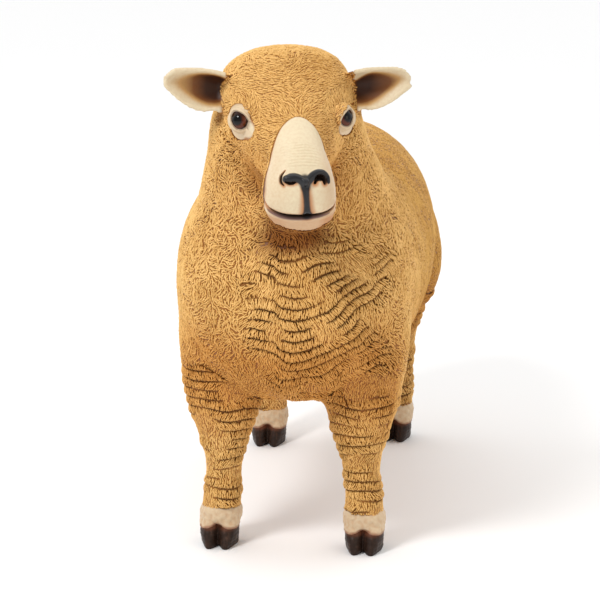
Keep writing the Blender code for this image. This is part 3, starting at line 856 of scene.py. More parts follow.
def wool_plan(points, normals, node):
    """For each place: the way the wool lies, and the length, width, height and wander of its stroke."""
    head = to_head(points)
    chest, leg, skull = zones(points, normals, head, node)
    x, y, z = points.T
    side, along, below = head.T
    shoulder = fade(0.10, -0.12, y) * fade(0.30, 0.42, z) * (1 - chest) * (1 - leg) * (1 - skull)
    top = fade(0.5, 0.9, normals[:, 2])
    # Back and down on the barrel, down on the legs, and across the rows on the chest.
    lie = np.stack((np.zeros_like(x), np.full_like(x, 0.75), np.full_like(x, -0.65)), axis=1)
    lie = blend(lie, np.array((0, 0.25, -1.0)), shoulder[:, None])
    lie = blend(lie, np.array((0, 1.0, 0.0)), top[:, None] * (1 - skull[:, None]))
    down_rows = np.stack((2 * CHEST_HANG * (x - CHEST_MIDDLE), np.zeros_like(x), -np.ones_like(x)), axis=1)
    lie = blend(lie, unit(down_rows), chest[:, None])
    lie = blend(lie, np.array((0, 0, -1.0)), leg[:, None])
    # On the head: away from the bare patch and the eyes, and back over the crown.
    core = (np.full_like(side, PATCH_MIDDLE), np.clip(along, PATCH_TOP + 0.022, 0.25), np.maximum(below, 0))
    ray = head - np.stack(core, axis=1)
    ray[:, 2] *= 0.4
    away = unit(ray) @ HEAD_AXES
    round_eye = np.zeros(len(points))
    for eye in EYES:
        rel = points - eye_frame(eye)[0]
        near = fade(0.052, 0.030, np.linalg.norm(rel, axis=1))
        away = away + 1.6 * near[:, None] * unit(rel)
        round_eye = np.maximum(round_eye, fade(0.058, 0.040, np.linalg.norm(rel, axis=1)))
    cheek = fade(0.045, 0.085, below) * fade(0.02, 0.06, along)
    away = blend(away, np.array((0, 0.35, -0.9)), (0.55 * cheek)[:, None])
    # Over the brow the ridges run sideways, and fan down to the bare patch.
    brow = fade(0.128, 0.092, along) * fade(0.050, 0.030, below) * (1 - round_eye)
    away = blend(unit(away), HEAD_AXES[0] * np.sign(side)[:, None], (0.75 * brow)[:, None])
    lie = blend(lie, away, skull[:, None])
    crown = fade(0.05, -0.01, along) * skull
    bridge = fade(0.10, 0.14, along) * (1 - cheek) * skull
    sizes = np.tile((0.0094, 0.0047, 0.0015, 0.75), (len(points), 1))
    for share, row in (
        (shoulder, (0.0098, 0.0046, 0.0020, 1.2)),
        (chest, (0.0120, 0.0040, 0.0013, 0.16)),
        (leg, (0.0092, 0.0037, 0.0008, 0.22)),
        (skull, (0.0082, 0.0036, 0.0017, 0.40)),
        (cheek * skull, (0.0078, 0.0043, 0.0029, 1.4)),
        (crown, (0.0078, 0.0040, 0.0019, 1.0)),
        (bridge, (0.0080, 0.0035, 0.0018, 0.25)),
    ):
        sizes = blend(sizes, np.array(row), share[:, None])
    length, width, height, wander = sizes.T
    sweep = wander * ripple(points, 0.032, 11)
    # Each fold of the chest and the legs leans its own way.
    fold = np.floor(row_height(points, chest) / BAND_PITCH)
    sweep = sweep + 0.36 * (chest + leg) * np.sin(2.4 * fold + 17 * x)
    lie = unit(lie - normals * (lie * normals).sum(axis=1, keepdims=True))
    lie = lie * np.cos(sweep)[:, None] + np.cross(normals, lie) * np.sin(sweep)[:, None]
    return {
        "lie": lie, "beside": np.cross(normals, lie), "length": length, "width": width, "height": height,
        "wander": wander, "chest": chest, "leg": leg,
    }


def row_height(points, chest):
    """The level whose even steps are the folds: hanging curves on the chest, rings on the legs."""
    x, _, z = points.T
    off = x - CHEST_MIDDLE
    parting = 0.45 * BAND_PITCH * fade(-0.006, 0.006, off + 0.020 + 0.006 * ripple(points, 0.05, 29)) * chest
    return z - chest * CHEST_HANG * off**2 + 0.0042 * ripple(points, 0.07, 23) + parting


def fold_shares(points, chest, leg):
    """How strongly the folds show in each place of the chest and of the legs."""
    on_chest = chest * np.clip(0.62 + 0.95 * ripple(points, 0.045, 31), 0.0, 1.0)
    return on_chest, leg * np.clip(0.48 + 0.95 * ripple(points, 0.050, 37), 0.0, 1.0)


def folds(points, chest, leg):
    """How far the wool swells over each fold, and how near each place is to the crease below it."""
    level = row_height(points, chest) / BAND_PITCH
    rise = level - np.floor(level)
    swell = np.sin(math.pi * rise**0.55) ** 0.8
    on_chest, on_leg = fold_shares(points, chest, leg)
    near = np.exp(-((np.minimum(rise, 1 - rise) / 0.075) ** 2))
    return swell * (0.0058 * on_chest + 0.0046 * on_leg), near * np.clip(on_chest + on_leg, 0, 1)


def room_in_fold(points, chest, leg):
    """How far a stroke may run on, and back, before it meets the crease of its fold."""
    level = row_height(points, chest) / BAND_PITCH
    rise = level - np.floor(level)
    folded = sum(fold_shares(points, chest, leg)) > 0.25
    return np.where(folded, rise * BAND_PITCH, 1.0), np.where(folded, (1 - rise) * BAND_PITCH, 1.0)


def thin_out(points, plan, seed):
    """Indices of the places kept, so that no two strokes crowd each other."""
    count = len(points)
    tree = KDTree(count)
    for i, p in enumerate(points.tolist()):
        tree.insert(p, i)
    tree.balance()
    long = 0.42 * plan["length"]
    wide = 0.48 * plan["width"]
    alive = np.ones(count, bool)
    kept = []
    for i in np.random.default_rng(seed).permutation(count).tolist():
        if not alive[i]:
            continue
        kept.append(i)
        near = np.fromiter((f[1] for f in tree.find_range(points[i], long[i])), np.int64)
        gap = points[near] - points[i]
        u = gap @ plan["lie"][i] / long[i]
        v = gap @ plan["beside"][i] / wide[i]
        alive[near[u * u + v * v < 1]] = False
    return np.array(kept)


FINE_RINGS = (0.14, 0.50, 0.86)
PLAIN_RINGS = (0.22, 0.78)
NEAR_PIECES = ("head", "breast", "neck", "shoulder")


def stroke_faces(rings):
    """Triangles of one stroke: three corners on each ring, between two tips."""
    faces = []
    for k in range(rings - 1):
        a, b = 3 * k, 3 * k + 3
        for j in range(3):
            j2 = (j + 1) % 3
            faces += strip(a, b, j, j2)
    first, last, end = 3 * rings, 3 * rings + 1, 3 * (rings - 1)
    for j in range(3):
        j2 = (j + 1) % 3
        faces += [(first, j, j2), (last, end + j2, end + j)]
    return np.array(faces, np.int64)


def unwrapped(points, node):
    """Places on the skin of one node unrolled round its length, from 0 to 1 both ways."""
    if node == "head":
        axis = HEAD_AXES[1]
    elif node in ("trunk", "neck"):
        axis = unit(np.array({"trunk": (0, 1, 0), "neck": (0, -0.55, 0.83)}[node]))
    else:
        axis = np.array((1, 0, 0) if node.startswith("ear") else (0, 0, 1))
    first = unit(np.cross(axis, (1, 0, 0) if abs(axis[0]) < 0.5 else (0, 0, 1)))
    second = np.cross(axis, first)
    rel = points - middle(node)
    flat = np.stack((np.arctan2(rel @ second, rel @ first), rel @ axis), axis=1)
    low, high = flat.min(axis=0), flat.max(axis=0)
    return 0.01 + 0.98 * (flat - low) / np.maximum(high - low, 1e-9)


def strokes(name, roots, normals, plan, tree, spread, seed, stops):
    """A piece of coat: one closed ridge for each root, following the skin."""
    count, rings = len(roots), len(stops)
    dice = np.random.default_rng(seed)
    lie, beside = plan["lie"], plan["beside"]
    length = plan["length"] * dice.uniform(0.82, 1.18, count)
    width = plan["width"] * dice.uniform(0.85, 1.15, count)
    height = plan["height"] * dice.uniform(0.70, 1.30, count)
    curl = dice.normal(0, 0.11, count) * np.clip(plan["wander"] * 1.5, 0.4, 1.3)
    phase = dice.uniform(0, 2 * math.pi, count)
    waves = dice.uniform(0.5, 0.95, count)
    fore, aft = room_in_fold(roots, plan["chest"], plan["leg"])
    fore = np.minimum(STROKE_AHEAD * length, np.maximum(np.minimum(fore, plan["ahead"]), 0.0014))
    aft = np.minimum(STROKE_BEHIND * length, np.maximum(aft, 0.0008))
    aft = np.minimum(aft, np.maximum(plan["room"], 0.0))
    stations = np.concatenate(([0.0], stops, [1.0]))
    spots = []
    for s in stations:
        sway = curl * length * (np.sin(2 * math.pi * waves * s + phase) - np.sin(phase))
        spots.append(roots + lie * (s * (fore + aft) - aft)[:, None] + beside * sway[:, None])
    ground, up = (a.reshape(len(stations), count, 3) for a in on_surface(tree, np.concatenate(spots)))
    up = np.where(((up * normals[None]).sum(axis=2) > 0.2)[:, :, None], up, normals[None])
    zone = (np.tile(plan[key], len(stations)) for key in ("chest", "leg"))
    swell, crease = (a.reshape(len(stations), count) for a in folds(ground.reshape(-1, 3), *zone))
    ground = ground + up * swell[:, :, None]
    corners = 3 * rings + 2
    points = np.empty((count, corners, 3))
    crest = np.zeros((count, corners))
    near_crease = np.zeros((count, corners))
    for k, s in enumerate(stops):
        here, above = ground[k + 1], up[k + 1]
        across = unit(np.cross(above, unit(ground[k + 2] - ground[k])))
        full = math.sin(math.pi * (0.08 + 0.84 * s)) ** 0.6
        half = across * (width * 0.5 * (0.62 + 0.38 * full))[:, None]
        points[:, 3 * k] = here + half - above * 0.0006
        points[:, 3 * k + 1] = here + above * (height * full)[:, None]
        points[:, 3 * k + 2] = here - half - above * 0.0006
        crest[:, 3 * k + 1] = 1
        near_crease[:, 3 * k : 3 * k + 3] = crease[k + 1][:, None]
    points[:, -2] = ground[0] - up[0] * 0.0008
    points[:, -1] = ground[-1] - up[-1] * 0.0004
    near_crease[:, -2], near_crease[:, -1] = crease[0], crease[-1]
    faces = (stroke_faces(rings)[None] + (np.arange(count) * corners)[:, None, None]).reshape(-1, 3)
    obj = placed(name, mesh_of(name, points.reshape(-1, 3), faces))
    float_attribute(obj.data, "crest", crest.ravel())
    # Wash and painted shade along the creases under the folds.
    float_attribute(obj.data, "crease", near_crease.ravel())
    float_attribute(obj.data, "tone", np.repeat(dice.uniform(-1, 1, count), corners))
    for tint, values in markings(roots, normals).items():
        float_attribute(obj.data, tint, np.repeat(values, corners))
    patch = np.zeros((corners, 2))
    patch[: 3 * rings, 0] = np.repeat(stops, 3)
    patch[: 3 * rings, 1] = np.tile((0.0, 0.5, 1.0), rings)
    patch[-2], patch[-1] = (0, 0.5), (1, 0.5)
    places = (spread[:, None] + (patch - 0.5)[None] * 0.003).reshape(-1, 2)
    layer = obj.data.uv_layers.new(name="OFBake")
    layer.data.foreach_set("uv", places[faces.ravel()].astype(np.float32).ravel())
    return obj


def coat_pieces(roots, node):
    """Name and share of the roots of each piece of the coat."""
    number = {name: k for k, name in enumerate(FLESH)}
    left = roots[:, 0] > 0
    trunk = node == number["trunk"]
    cuts = (-1.0, -0.235, -0.02, 0.20, 1.0)
    for part, low, high in zip(("breast", "shoulder", "barrel", "rump"), cuts, cuts[1:]):
        reach_y = trunk & (roots[:, 1] > low) & (roots[:, 1] <= high)
        yield f"coat_{part}_left", "trunk", reach_y & left
        yield f"coat_{part}_right", "trunk", reach_y & ~left
    yield "coat_tail", "tail", node == number["tail"]
    for half, chosen in (("left", left), ("right", ~left)):
        ear = number[f"ear_{half}"]
        yield f"coat_head_{half}", "head", ((node == number["head"]) & chosen) | (node == ear)
        yield f"coat_neck_{half}", "neck", (node == number["neck"]) & chosen
        for pair in ("front", "hind"):
            leg = f"leg_{pair}_{half}"
            yield f"coat_{leg}", leg, node == number[leg]


# ---------------------------------------------------------------- eyes and hooves


def eyeball(side):
    """A fine eyeball with a low bulge over the iris, its rings centred on the gaze."""
    gaze = unit(np.array(GAZES[side]) @ HEAD_AXES)
    first = unit(np.cross(gaze, (0, 0, 1)))
    second = np.cross(gaze, first)
    rings, parts = 40, 48
    turns = np.linspace(0, 2 * math.pi, parts, endpoint=False)
    angles = np.linspace(0, math.pi, rings + 2)[1:-1]
    bulge = 0.0007 * fade(math.radians(36), math.radians(14), angles)
    radius = EYE_RADIUS * 0.986 + bulge
    circle = np.cos(turns)[:, None] * first + np.sin(turns)[:, None] * second
    body = (np.cos(angles) * radius)[:, None, None] * gaze
    body = body + (np.sin(angles) * radius)[:, None, None] * circle[None]
    poles = (gaze * radius[0], -gaze * radius[-1])
    centre = middle(EYES[side])
    points = np.concatenate((body.reshape(-1, 3), poles)) + centre
    front, back, last = len(points) - 2, len(points) - 1, (rings - 1) * parts
    faces = []
    for j in range(parts):
        j2 = (j + 1) % parts
        for k in range(rings - 1):
            a, b = k * parts, (k + 1) * parts
            faces += strip(a, b, j, j2)
        faces += [(front, j, j2), (back, last + j2, last + j)]
    name = f"glass_{EYES[side]}"
    obj = placed(name, mesh_of(name, points, np.array(faces)))
    turned = np.degrees(np.concatenate((np.repeat(angles, parts), (0, math.pi)))) / 90
    float_attribute(obj.data, "turned", turned)
    # Where the eyeball lies clear of the upper lid's painted shade: 1 towards the tear duct, 0 on the far
    # side.
    rel = points - centre
    sideways = unit(rel - (rel @ gaze)[:, None] * gaze)
    float_attribute(obj.data, "out_of_lid_shade", fade(-0.15, 0.75, sideways @ lid_axes(side)[1]))
    return obj


def hoof_piece(node):
    """A finer cloven hoof whose upper edge runs up inside the pastern."""
    points, faces, _ = joined((node,), 0.0002)
    obj = placed(f"horn_{node}", mesh_of(node, points, faces))
    remeshed(obj, 0.0018, 6)
    points, normals = coordinates(obj.data), vertex_normals(obj.data)
    centre = middle(node)
    upper = fade(0.0325, 0.0385, points[:, 2])
    rings = 0.00022 * np.sin(points[:, 2] * 2 * math.pi / 0.0062 + ripple(points, 0.03, 83))
    dents = 0.00035 * ripple(points, 0.011, 89)
    side_on = 1 - np.abs(normals[:, 2])
    points = points + normals * ((rings + dents) * side_on * (1 - upper))[:, None]
    # The toes lean in towards the cleft at the ground.
    rel = points[:, 0] - centre[0]
    lean = 0.0055 * fade(0.024, 0.0, points[:, 2]) * fade(0.010, -0.030, points[:, 1] - centre[1])
    points[:, 0] -= np.sign(rel) * lean * np.clip(np.abs(rel) / 0.030, 0, 1) ** 2
    points[:, 2] = np.maximum(points[:, 2], 0.0)
    points[:, :2] = blend(points[:, :2], centre[:2], (0.07 * upper)[:, None])
    set_coordinates(obj.data, points)
    float_attribute(obj.data, "upper", fade(0.027, HOOF_TOP + 0.002, points[:, 2]))
    return obj


# ---------------------------------------------------------------- paint


class Paint:
    """A small builder for one material's nodes."""

    def __init__(self, name, roughness, specular=0.5):
        self.material = bpy.data.materials.new(name)
        self.material.use_nodes = True
        self.tree = self.material.node_tree
        self.shader = self.tree.nodes["Principled BSDF"]
        self.shader.inputs["Roughness"].default_value = roughness
        self.shader.inputs["Specular IOR Level"].default_value = specular
        self.place = self.tree.nodes.new("ShaderNodeTexCoord").outputs["Object"]

    def put(self, socket, value):
        if isinstance(value, bpy.types.NodeSocket):
            self.tree.links.new(value, socket)
        elif hasattr(value, "__len__"):
            socket.default_value = (*value, 1)[:4]
        else:
            socket.default_value = value

    def mask(self, name):
        node = self.tree.nodes.new("ShaderNodeAttribute")
        node.attribute_name = name
        return node.outputs["Fac"]

    def mixed(self, a, b, share, way="MIX"):
        node = self.tree.nodes.new("ShaderNodeMix")
        node.data_type = "RGBA"
        node.blend_type = way
        for socket, value in ((0, share), (6, a), (7, b)):
            self.put(node.inputs[socket], value)
        return node.outputs[2]

    def sums(self, way, a, b=0.0, c=0.0):
        node = self.tree.nodes.new("ShaderNodeMath")
        node.operation = way
        for socket, value in zip(node.inputs, (a, b, c)):
            self.put(socket, value)
        return node.outputs[0]

    def ramp(self, share, stops):
        node = self.tree.nodes.new("ShaderNodeValToRGB")
        self.put(node.inputs["Fac"], share)
        marks = node.color_ramp.elements
        while len(marks) < len(stops):
            marks.new(0.5)
        for mark, (position, colour) in zip(marks, stops):
            mark.position = position
            mark.color = (*tuple(colour)[:3], 1)
        return node.outputs["Color"]

    def noise(self, scale, detail=2.0, stretch=(1, 1, 1)):
        mapping = self.tree.nodes.new("ShaderNodeMapping")
        self.put(mapping.inputs["Vector"], self.place)
        mapping.inputs["Scale"].default_value = stretch
        node = self.tree.nodes.new("ShaderNodeTexNoise")
        self.put(node.inputs["Vector"], mapping.outputs["Vector"])
        node.inputs["Scale"].default_value = scale
        node.inputs["Detail"].default_value = detail
        return node.outputs["Fac"]

    def bump(self, height, depth, strength=1.0):
        node = self.tree.nodes.new("ShaderNodeBump")
        node.inputs["Strength"].default_value = strength
        node.inputs["Distance"].default_value = depth
        self.put(node.inputs["Height"], height)
        self.put(self.shader.inputs["Normal"], node.outputs["Normal"])

    def colour(self, value):
        self.put(self.shader.inputs["Base Color"], value)

    def marked(self, colour, tints):
        """The tints and painted shade that the skin and the wool share."""
        # Multiplies in the warm tint with its painted shade, the olive painted shade of the flanks, and the
        # painted shadow below the chin.
        for name in ("warm_shade", "flank_shade", "shade"):
            tinted = self.mixed(colour, getattr(tints, name), 1.0, "MULTIPLY")
            colour = self.mixed(colour, tinted, self.mask(name))
        # The wash colour laid in as painted shade below the ears' roots.
        dusk = self.sums("MULTIPLY", self.mask("dusk"), 0.8)
        return self.mixed(colour, tints.wash, dusk)


def wool_paint(tints):
    """Golden paint on the ridges with a brown wash left in the grooves between them."""
    paint = Paint("painted wool", 0.55, 0.09)
    patchy = paint.sums("MULTIPLY_ADD", paint.noise(16, 3), 0.34, -0.17)
    share = paint.sums("MULTIPLY_ADD", paint.mask("tone"), 0.085, paint.mask("crest"))
    share = paint.sums("ADD", share, patchy)
    groove, fleece, crest = (tuple(c) for c in (tints.groove, tints.fleece, tints.crest))
    between = tuple(blend(np.array(groove), np.array(fleece), 0.55))
    colour = paint.ramp(share, ((0.10, groove), (0.40, between), (0.62, fleece), (1.0, crest)))
    curls = paint.ramp(share, ((0.16, tints.deep), (0.48, groove), (0.74, fleece), (1.0, crest)))
    colour = paint.mixed(colour, curls, paint.mask("deep"))
    # Wash and painted shade along the creases under the folds.
    colour = paint.mixed(colour, tints.crease, paint.mask("crease"))
    paint.colour(paint.marked(colour, tints))
    paint.bump(paint.noise(650, 3), 0.00035, 0.5)
    return paint.material


def skin_paint(tints):
    """Dark wash under the wool, and cream paint where the skin is bare, with airbrushed edges and painted
    shade on the sides of the muzzle and on the chin.
    """
    paint = Paint("painted skin", 0.42, 0.24)
    speckle = paint.noise(240, 4)
    darker = tuple(0.93 * c for c in tints.cream)
    cream = paint.ramp(paint.noise(14, 3), ((0.30, tints.cream), (0.70, darker)))
    specks = paint.ramp(speckle, ((0.42, (0, 0, 0)), (0.66, (1, 1, 1))))
    cream = paint.mixed(cream, tints.blush_and_shade, paint.sums("MULTIPLY", specks, 0.13))
    deeper = (
        (0.0, (1, 1, 1)), (0.30, (0.72, 0.50, 0.27)),
        (0.62, (0.24, 0.10, 0.036)), (1.0, (0.050, 0.016, 0.006)),
    )
    cream = paint.mixed(cream, paint.ramp(paint.mask("hollow"), deeper), 1.0, "MULTIPLY")
    under = paint.marked(paint.mixed(tints.wash, tints.deep, paint.mask("deep")), tints)
    colour = paint.mixed(cream, under, paint.mask("wool"))
    colour = paint.mixed(colour, tints.blush_and_shade, paint.sums("MULTIPLY", paint.mask("blush_and_shade"), 0.88))
    colour = paint.mixed(colour, tints.coronet, paint.sums("MULTIPLY", paint.mask("coronet"), 0.80))
    colour = paint.mixed(colour, tints.lip, paint.mask("lip"))
    colour = paint.mixed(colour, tints.charcoal, paint.mask("charcoal"))
    colour = paint.mixed(colour, tints.lid, paint.sums("MULTIPLY", paint.mask("lid"), 0.55))
    colour = paint.mixed(colour, (0.010, 0.005, 0.003), paint.mask("wash"))
    paint.colour(colour)
    shine = paint.sums("MAXIMUM", paint.mask("charcoal"), paint.mask("lip"))
    rough = paint.sums("MULTIPLY_ADD", shine, -0.24, 0.42)
    paint.put(paint.shader.inputs["Roughness"], rough)
    pores = paint.sums("MULTIPLY", paint.noise(900, 3), paint.sums("MULTIPLY_ADD", shine, -0.8, 1.0))
    paint.bump(pores, 0.0005, 0.45)
    return paint.material


def eye_paint(tints):
    paint = Paint("glassy eye", 0.04, 0.05)
    grain = paint.sums("MULTIPLY_ADD", paint.noise(420, 3), 0.05, -0.025)
    turned = paint.sums("ADD", paint.mask("turned"), grain)
    dark = tuple(0.30 * c for c in tints.iris)
    stops = (
        (0.24, (0.003, 0.002, 0.002)), (0.29, dark), (0.38, tints.iris), (0.50, tints.iris),
        (0.58, (0.012, 0.005, 0.004)), (0.66, (0.040, 0.020, 0.016)), (0.90, (0.20, 0.12, 0.10)),
    )
    lit = paint.ramp(turned, stops)
    # A painted shadow of the upper lid darkens the eye's colour, except towards the tear duct.
    shaded = paint.mixed(lit, (0.22, 0.20, 0.20), 1.0, "MULTIPLY")
    paint.colour(paint.mixed(shaded, lit, paint.mask("out_of_lid_shade")))
    paint.shader.inputs["Coat Weight"].default_value = 0.42
    paint.shader.inputs["Coat Roughness"].default_value = 0.015
    return paint.material


def horn_paint(tints):
    paint = Paint("painted horn", 0.42, 0.16)
    streaks = paint.noise(70, 4, (3.0, 3.0, 0.35))
    horn = tuple(tints.horn)
    lighter = tuple(2.6 * c for c in horn)
    colour = paint.ramp(streaks, ((0.35, tuple(0.7 * c for c in horn)), (0.58, horn), (0.78, lighter)))
    paint.colour(paint.mixed(colour, tints.coronet, paint.sums("MULTIPLY", paint.mask("upper"), 0.55)))
    paint.bump(paint.noise(180, 4, (1.0, 1.0, 0.5)), 0.0008, 0.5)
    return paint.material


def floor_paint(colour):
    paint = Paint("pale floor", 0.7, 0.2)
    paint.colour(tuple(colour))
    return paint.material


def dressed(obj, material, slot, *nodes):
    """Gives a piece its paint, sets it on the body, and lets it stand for its nodes; the slot is not used."""
    obj.data.materials.clear()
    obj.data.materials.append(material)
    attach(obj, "root")
    if nodes:
        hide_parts(*nodes)


# ---------------------------------------------------------------- settings


def tint(name, description, colour):
    return FloatVectorProperty(
        name=name, description=description, default=colour, size=3, min=0, max=1, subtype="COLOR"
    )


def span(name, description, default):
    return FloatProperty(
        name=name, description=description, default=default, min=0, subtype="DISTANCE", unit="LENGTH"
    )


def power(name, description, default):
    return FloatProperty(name=name, description=description, default=default, min=0, unit="POWER")


class FigureSizes(bpy.types.PropertyGroup):
    wool_depth: span("Wool depth", "How deep the skin lies under the outer surface of the wool", 0.0036)


class FigureTints(bpy.types.PropertyGroup):
    fleece: tint("Fleece", "Golden paint on the wool", (0.520, 0.262, 0.062))
    crest: tint("Crest", "Lighter paint on the crests of the wool", (0.88, 0.560, 0.215))
    groove: tint("Groove", "Wash at the foot of each ridge", (0.265, 0.100, 0.019))
    wash: tint("Wash", "Dark wash on the skin between the ridges", (0.285, 0.112, 0.022))
    deep: tint("Deep", "Wash left in the curls of the cheeks and the throat", (0.10, 0.032, 0.008))
    # Wash and painted shade under the folds of the chest and the legs.
    crease: tint("Crease", "Wash left under the folds of the chest and the legs", (0.130, 0.044, 0.010))
    # Warm-tinted painted shade under the chin and on surfaces that face down, and an orange-brown tint low on
    # the chest.
    warm_shade: tint("Warm", "Multiplies the wool under the chin and low on the chest", (0.82, 0.66, 0.50))
    shade: tint("Shade", "Multiplies the wool in the hollow under the chin", (0.36, 0.23, 0.15))
    # Olive-tinted painted shade on the flanks that face sideways.
    flank_shade: tint("Dull", "Multiplies the wool of the flanks", (0.79, 0.72, 0.53))
    cream: tint("Cream", "Bare skin of the face, the ears and the pasterns", (0.68, 0.575, 0.395))
    # Airbrushed edges of the bare skin, also laid on as painted shade on the sides of the muzzle and on the
    # chin.
    blush_and_shade: tint("Blush", "Airbrushed edges of the bare skin", (0.42, 0.155, 0.045))
    lip: tint("Lip", "Lower lip", (0.17, 0.095, 0.082))
    lid: tint("Lid", "Edges of the eyelids", (0.12, 0.045, 0.034))
    charcoal: tint("Charcoal", "Nose", (0.016, 0.016, 0.018))
    iris: tint("Iris", "Ring of the eye", (0.095, 0.020, 0.006))
    horn: tint("Horn", "Hooves", (0.029, 0.015, 0.010))
    coronet: tint("Coronet", "Airbrushed line over the hooves", (0.22, 0.072, 0.034))


class FigureStage(bpy.types.PropertyGroup):
    floor: tint("Floor", "Colour of the floor", (0.93, 0.93, 0.93))
    key: power("Key light", "Strength of the light from the upper left", 90)
    fill: power("Fill light", "Strength of the light from the right", 14)
    front: FloatProperty(
        name="Front", description="Brightness of the sky's front, as a share of the brightness behind",
        default=0.37, min=0, max=1, subtype="FACTOR",
    )
    sky: FloatProperty(
        name="Sky", description="Brightness of the sky behind the figure",
        default=1.43, min=0, subtype="FACTOR",
    )


# ---------------------------------------------------------------- operators


class FIGURE_OT_skin(bpy.types.Operator):
    """One skin over all the flesh, with the face, the ears and the feet modelled"""

    bl_idname = "figure.skin"
    bl_label = "Skin"

    def execute(self, context):
        skin = rough_skin()
        thinned(skin)
        refined(skin, lambda points: fine_face(points) | pastern_band(points))
        refined(skin, finest_face)
        sculpted(skin, context.scene.figure_sizes.wool_depth)
        smooth_shaded(skin.data)
        dressed(skin, skin_paint(context.scene.figure_tints), "bare_skin", *FLESH)
        return {"FINISHED"}


class FIGURE_OT_eyes(bpy.types.Operator):
    """Two glassy eyeballs between the lids"""

    bl_idname = "figure.eyes"
    bl_label = "Eyes"

    def execute(self, context):
        paint = eye_paint(context.scene.figure_tints)
        for side, node in EYES.items():
            dressed(eyeball(side), paint, "eye", node)
        return {"FINISHED"}


class FIGURE_OT_hooves(bpy.types.Operator):
    """Four cloven hooves that run up inside the pasterns"""

    bl_idname = "figure.hooves"
    bl_label = "Hooves"

    def execute(self, context):
        paint = horn_paint(context.scene.figure_tints)
        for node in HOOVES:
            dressed(hoof_piece(node), paint, "horn", node)
        return {"FINISHED"}


class FIGURE_OT_coat(bpy.types.Operator):
    """Sculpted ridges of wool over the skin, lying the way the fleece lies"""

    bl_idname = "figure.coat"
    bl_label = "Coat"

    def execute(self, context):
        skin = bpy.data.objects.get("skin")
        if skin is None:
            raise RuntimeError("the coat needs the skin first")
        points = coordinates(skin.data)
        covered = wool_share(points, to_head(points))[0] > 0.5
        near_head = (to_head(points)[:, 1] > -0.1) & (points[:, 2] > 0.58) & (points[:, 1] < -0.2)
        roots, normals = scattered(skin.data, covered * np.where(near_head, 2.4, 1.0), DARTS, 5)
        nodes, owner = node_map()
        node = owner[[nodes.find_nearest(Vector(p))[2] for p in roots.tolist()]]
        tree = surface_tree(skin.data)
        plan = wool_plan(roots, normals, node)
        # The lowest wool on each leg ends in a straight edge over the bare pastern.
        low = np.maximum((roots[:, 2] - WOOL_EDGE) / 0.62 + 0.003, 0.004)
        plan["length"] = np.where(plan["leg"] > 0.5, np.minimum(plan["length"], low), plan["length"])
        kept = thin_out(roots, plan, 6)
        share, bare = wool_share(roots, to_head(roots))
        plan["room"] = 0.0008 - bare
        beyond, on = beyond_roots(roots)
        plan["ahead"] = np.where(on > 0, 0.0015 - beyond, 1.0)
        # No stroke of the face runs out over bare skin.
        tips = roots + plan["lie"] * (STROKE_AHEAD * plan["length"])[:, None]
        over = (wool_share(tips, to_head(tips))[1] > 0.0004) & (roots[:, 2] > 0.5)
        plan["ahead"] = np.where(over, np.minimum(plan["ahead"], 0.0024 - 1.3 * bare), plan["ahead"])
        kept = kept[share[kept] > 0.5]
        roots, normals, node = roots[kept], normals[kept], node[kept]
        plan = {key: values[kept] for key, values in plan.items()}
        paint = wool_paint(context.scene.figure_tints)
        for seed, (name, unrolled, mine) in enumerate(coat_pieces(roots, node), 50):
            share = {key: values[mine] for key, values in plan.items()}
            spread = unwrapped(roots[mine], unrolled)
            stops = FINE_RINGS if any(word in name for word in NEAR_PIECES) else PLAIN_RINGS
            piece = strokes(name, roots[mine], normals[mine], share, tree, spread, seed, stops)
            dressed(piece, paint, "fleece")
        return {"FINISHED"}


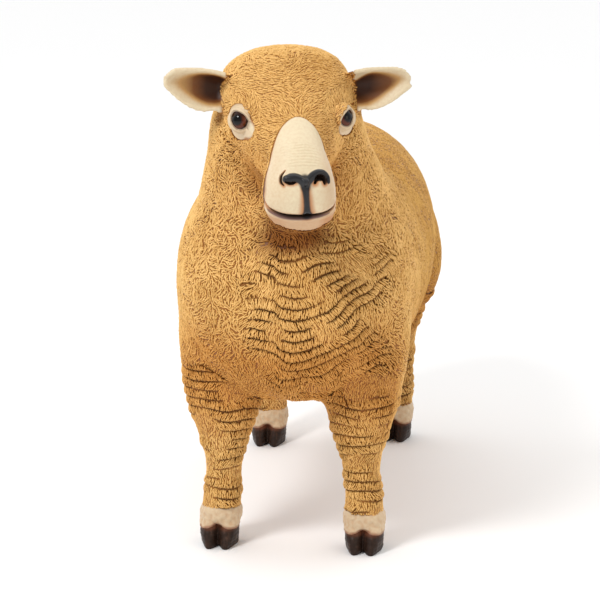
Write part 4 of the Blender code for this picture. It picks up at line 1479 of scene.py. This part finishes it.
class FIGURE_OT_stage(bpy.types.Operator):
    """Pale floor, soft light and the camera"""

    bl_idname = "figure.stage"
    bl_label = "Stage"

    def execute(self, context):
        scene, stage = context.scene, context.scene.figure_stage
        corners = FLOOR_REACH * np.array(((-1, -1, 0), (1, -1, 0), (1, 1, 0), (-1, 1, 0)), float)
        floor = placed("floor", mesh_of("floor", corners - (0, 0, 0.0002), np.array(((0, 1, 2, 3),))))
        floor.data.materials.append(floor_paint(stage.floor))
        world = bpy.data.worlds.new("soft sky")
        scene.world = world
        world.use_nodes = True
        backdrop = world.node_tree.nodes["Background"]
        backdrop.inputs["Strength"].default_value = stage.sky
        # The light behind the figure is brighter than the light in front of it.
        way = world.node_tree.nodes.new("ShaderNodeTexCoord")
        parts = world.node_tree.nodes.new("ShaderNodeSeparateXYZ")
        shade = world.node_tree.nodes.new("ShaderNodeMapRange")
        shade.interpolation_type = "SMOOTHSTEP"
        span_of_light = (("From Min", -0.6), ("From Max", 0.5), ("To Min", stage.front), ("To Max", 1.0))
        for socket, value in span_of_light:
            shade.inputs[socket].default_value = value
        world.node_tree.links.new(way.outputs["Generated"], parts.inputs["Vector"])
        world.node_tree.links.new(parts.outputs["Y"], shade.inputs["Value"])
        world.node_tree.links.new(shade.outputs["Result"], backdrop.inputs["Color"])
        aim = Vector(LIGHT_AIM)
        for name, power, size, spot, colour in (
            ("key light", stage.key, 1.00, (-1.6, -2.4, 3.3), (1, 1, 1)),
            ("fill light", stage.fill, 1.6, (2.4, -2.2, 1.2), (1, 0.86, 0.66)),
        ):
            light = bpy.data.objects.new(name, bpy.data.lights.new(name, "AREA"))
            light.data.energy = power
            light.data.size = size
            light.data.color = colour
            light.location = spot
            light.rotation_euler = (aim - light.location).to_track_quat("-Z", "Y").to_euler()
            scene.collection.objects.link(light)
        camera = bpy.data.objects.new("camera", bpy.data.cameras.new("camera"))
        camera.location = CAMERA_PLACE
        camera.rotation_euler = (CAMERA_TIP, 0, CAMERA_TURN)
        camera.data.lens = CAMERA_LENS
        camera.data.clip_end = 50
        scene.collection.objects.link(camera)
        scene.camera = camera
        scene.view_settings.view_transform = "Standard"
        return {"FINISHED"}


STEPS = (FIGURE_OT_skin, FIGURE_OT_eyes, FIGURE_OT_hooves, FIGURE_OT_coat, FIGURE_OT_stage)


class FIGURE_PT_panel(bpy.types.Panel):
    bl_idname = "FIGURE_PT_panel"
    bl_label = "Painted Sheep"
    bl_space_type = "VIEW_3D"
    bl_region_type = "UI"
    bl_category = "Sheep"

    def draw(self, context):
        for step in STEPS:
            self.layout.operator(step.bl_idname)
        for group in (context.scene.figure_sizes, context.scene.figure_tints, context.scene.figure_stage):
            box = self.layout.box()
            for key in group.__annotations__:
                box.prop(group, key)


GROUPS = {"figure_sizes": FigureSizes, "figure_tints": FigureTints, "figure_stage": FigureStage}
CLASSES = (*GROUPS.values(), *STEPS, FIGURE_PT_panel)


def register():
    for cls in CLASSES:
        bpy.utils.register_class(cls)
    for name, group in GROUPS.items():
        setattr(bpy.types.Scene, name, PointerProperty(type=group))


def unregister():
    for name in GROUPS:
        delattr(bpy.types.Scene, name)
    for cls in reversed(CLASSES):
        bpy.utils.unregister_class(cls)


def main():
    register()
    bpy.ops.figure.skin()
    bpy.ops.figure.eyes()
    bpy.ops.figure.hooves()
    bpy.ops.figure.coat()
    bpy.ops.figure.stage()


if __name__ == "__main__":
    main()
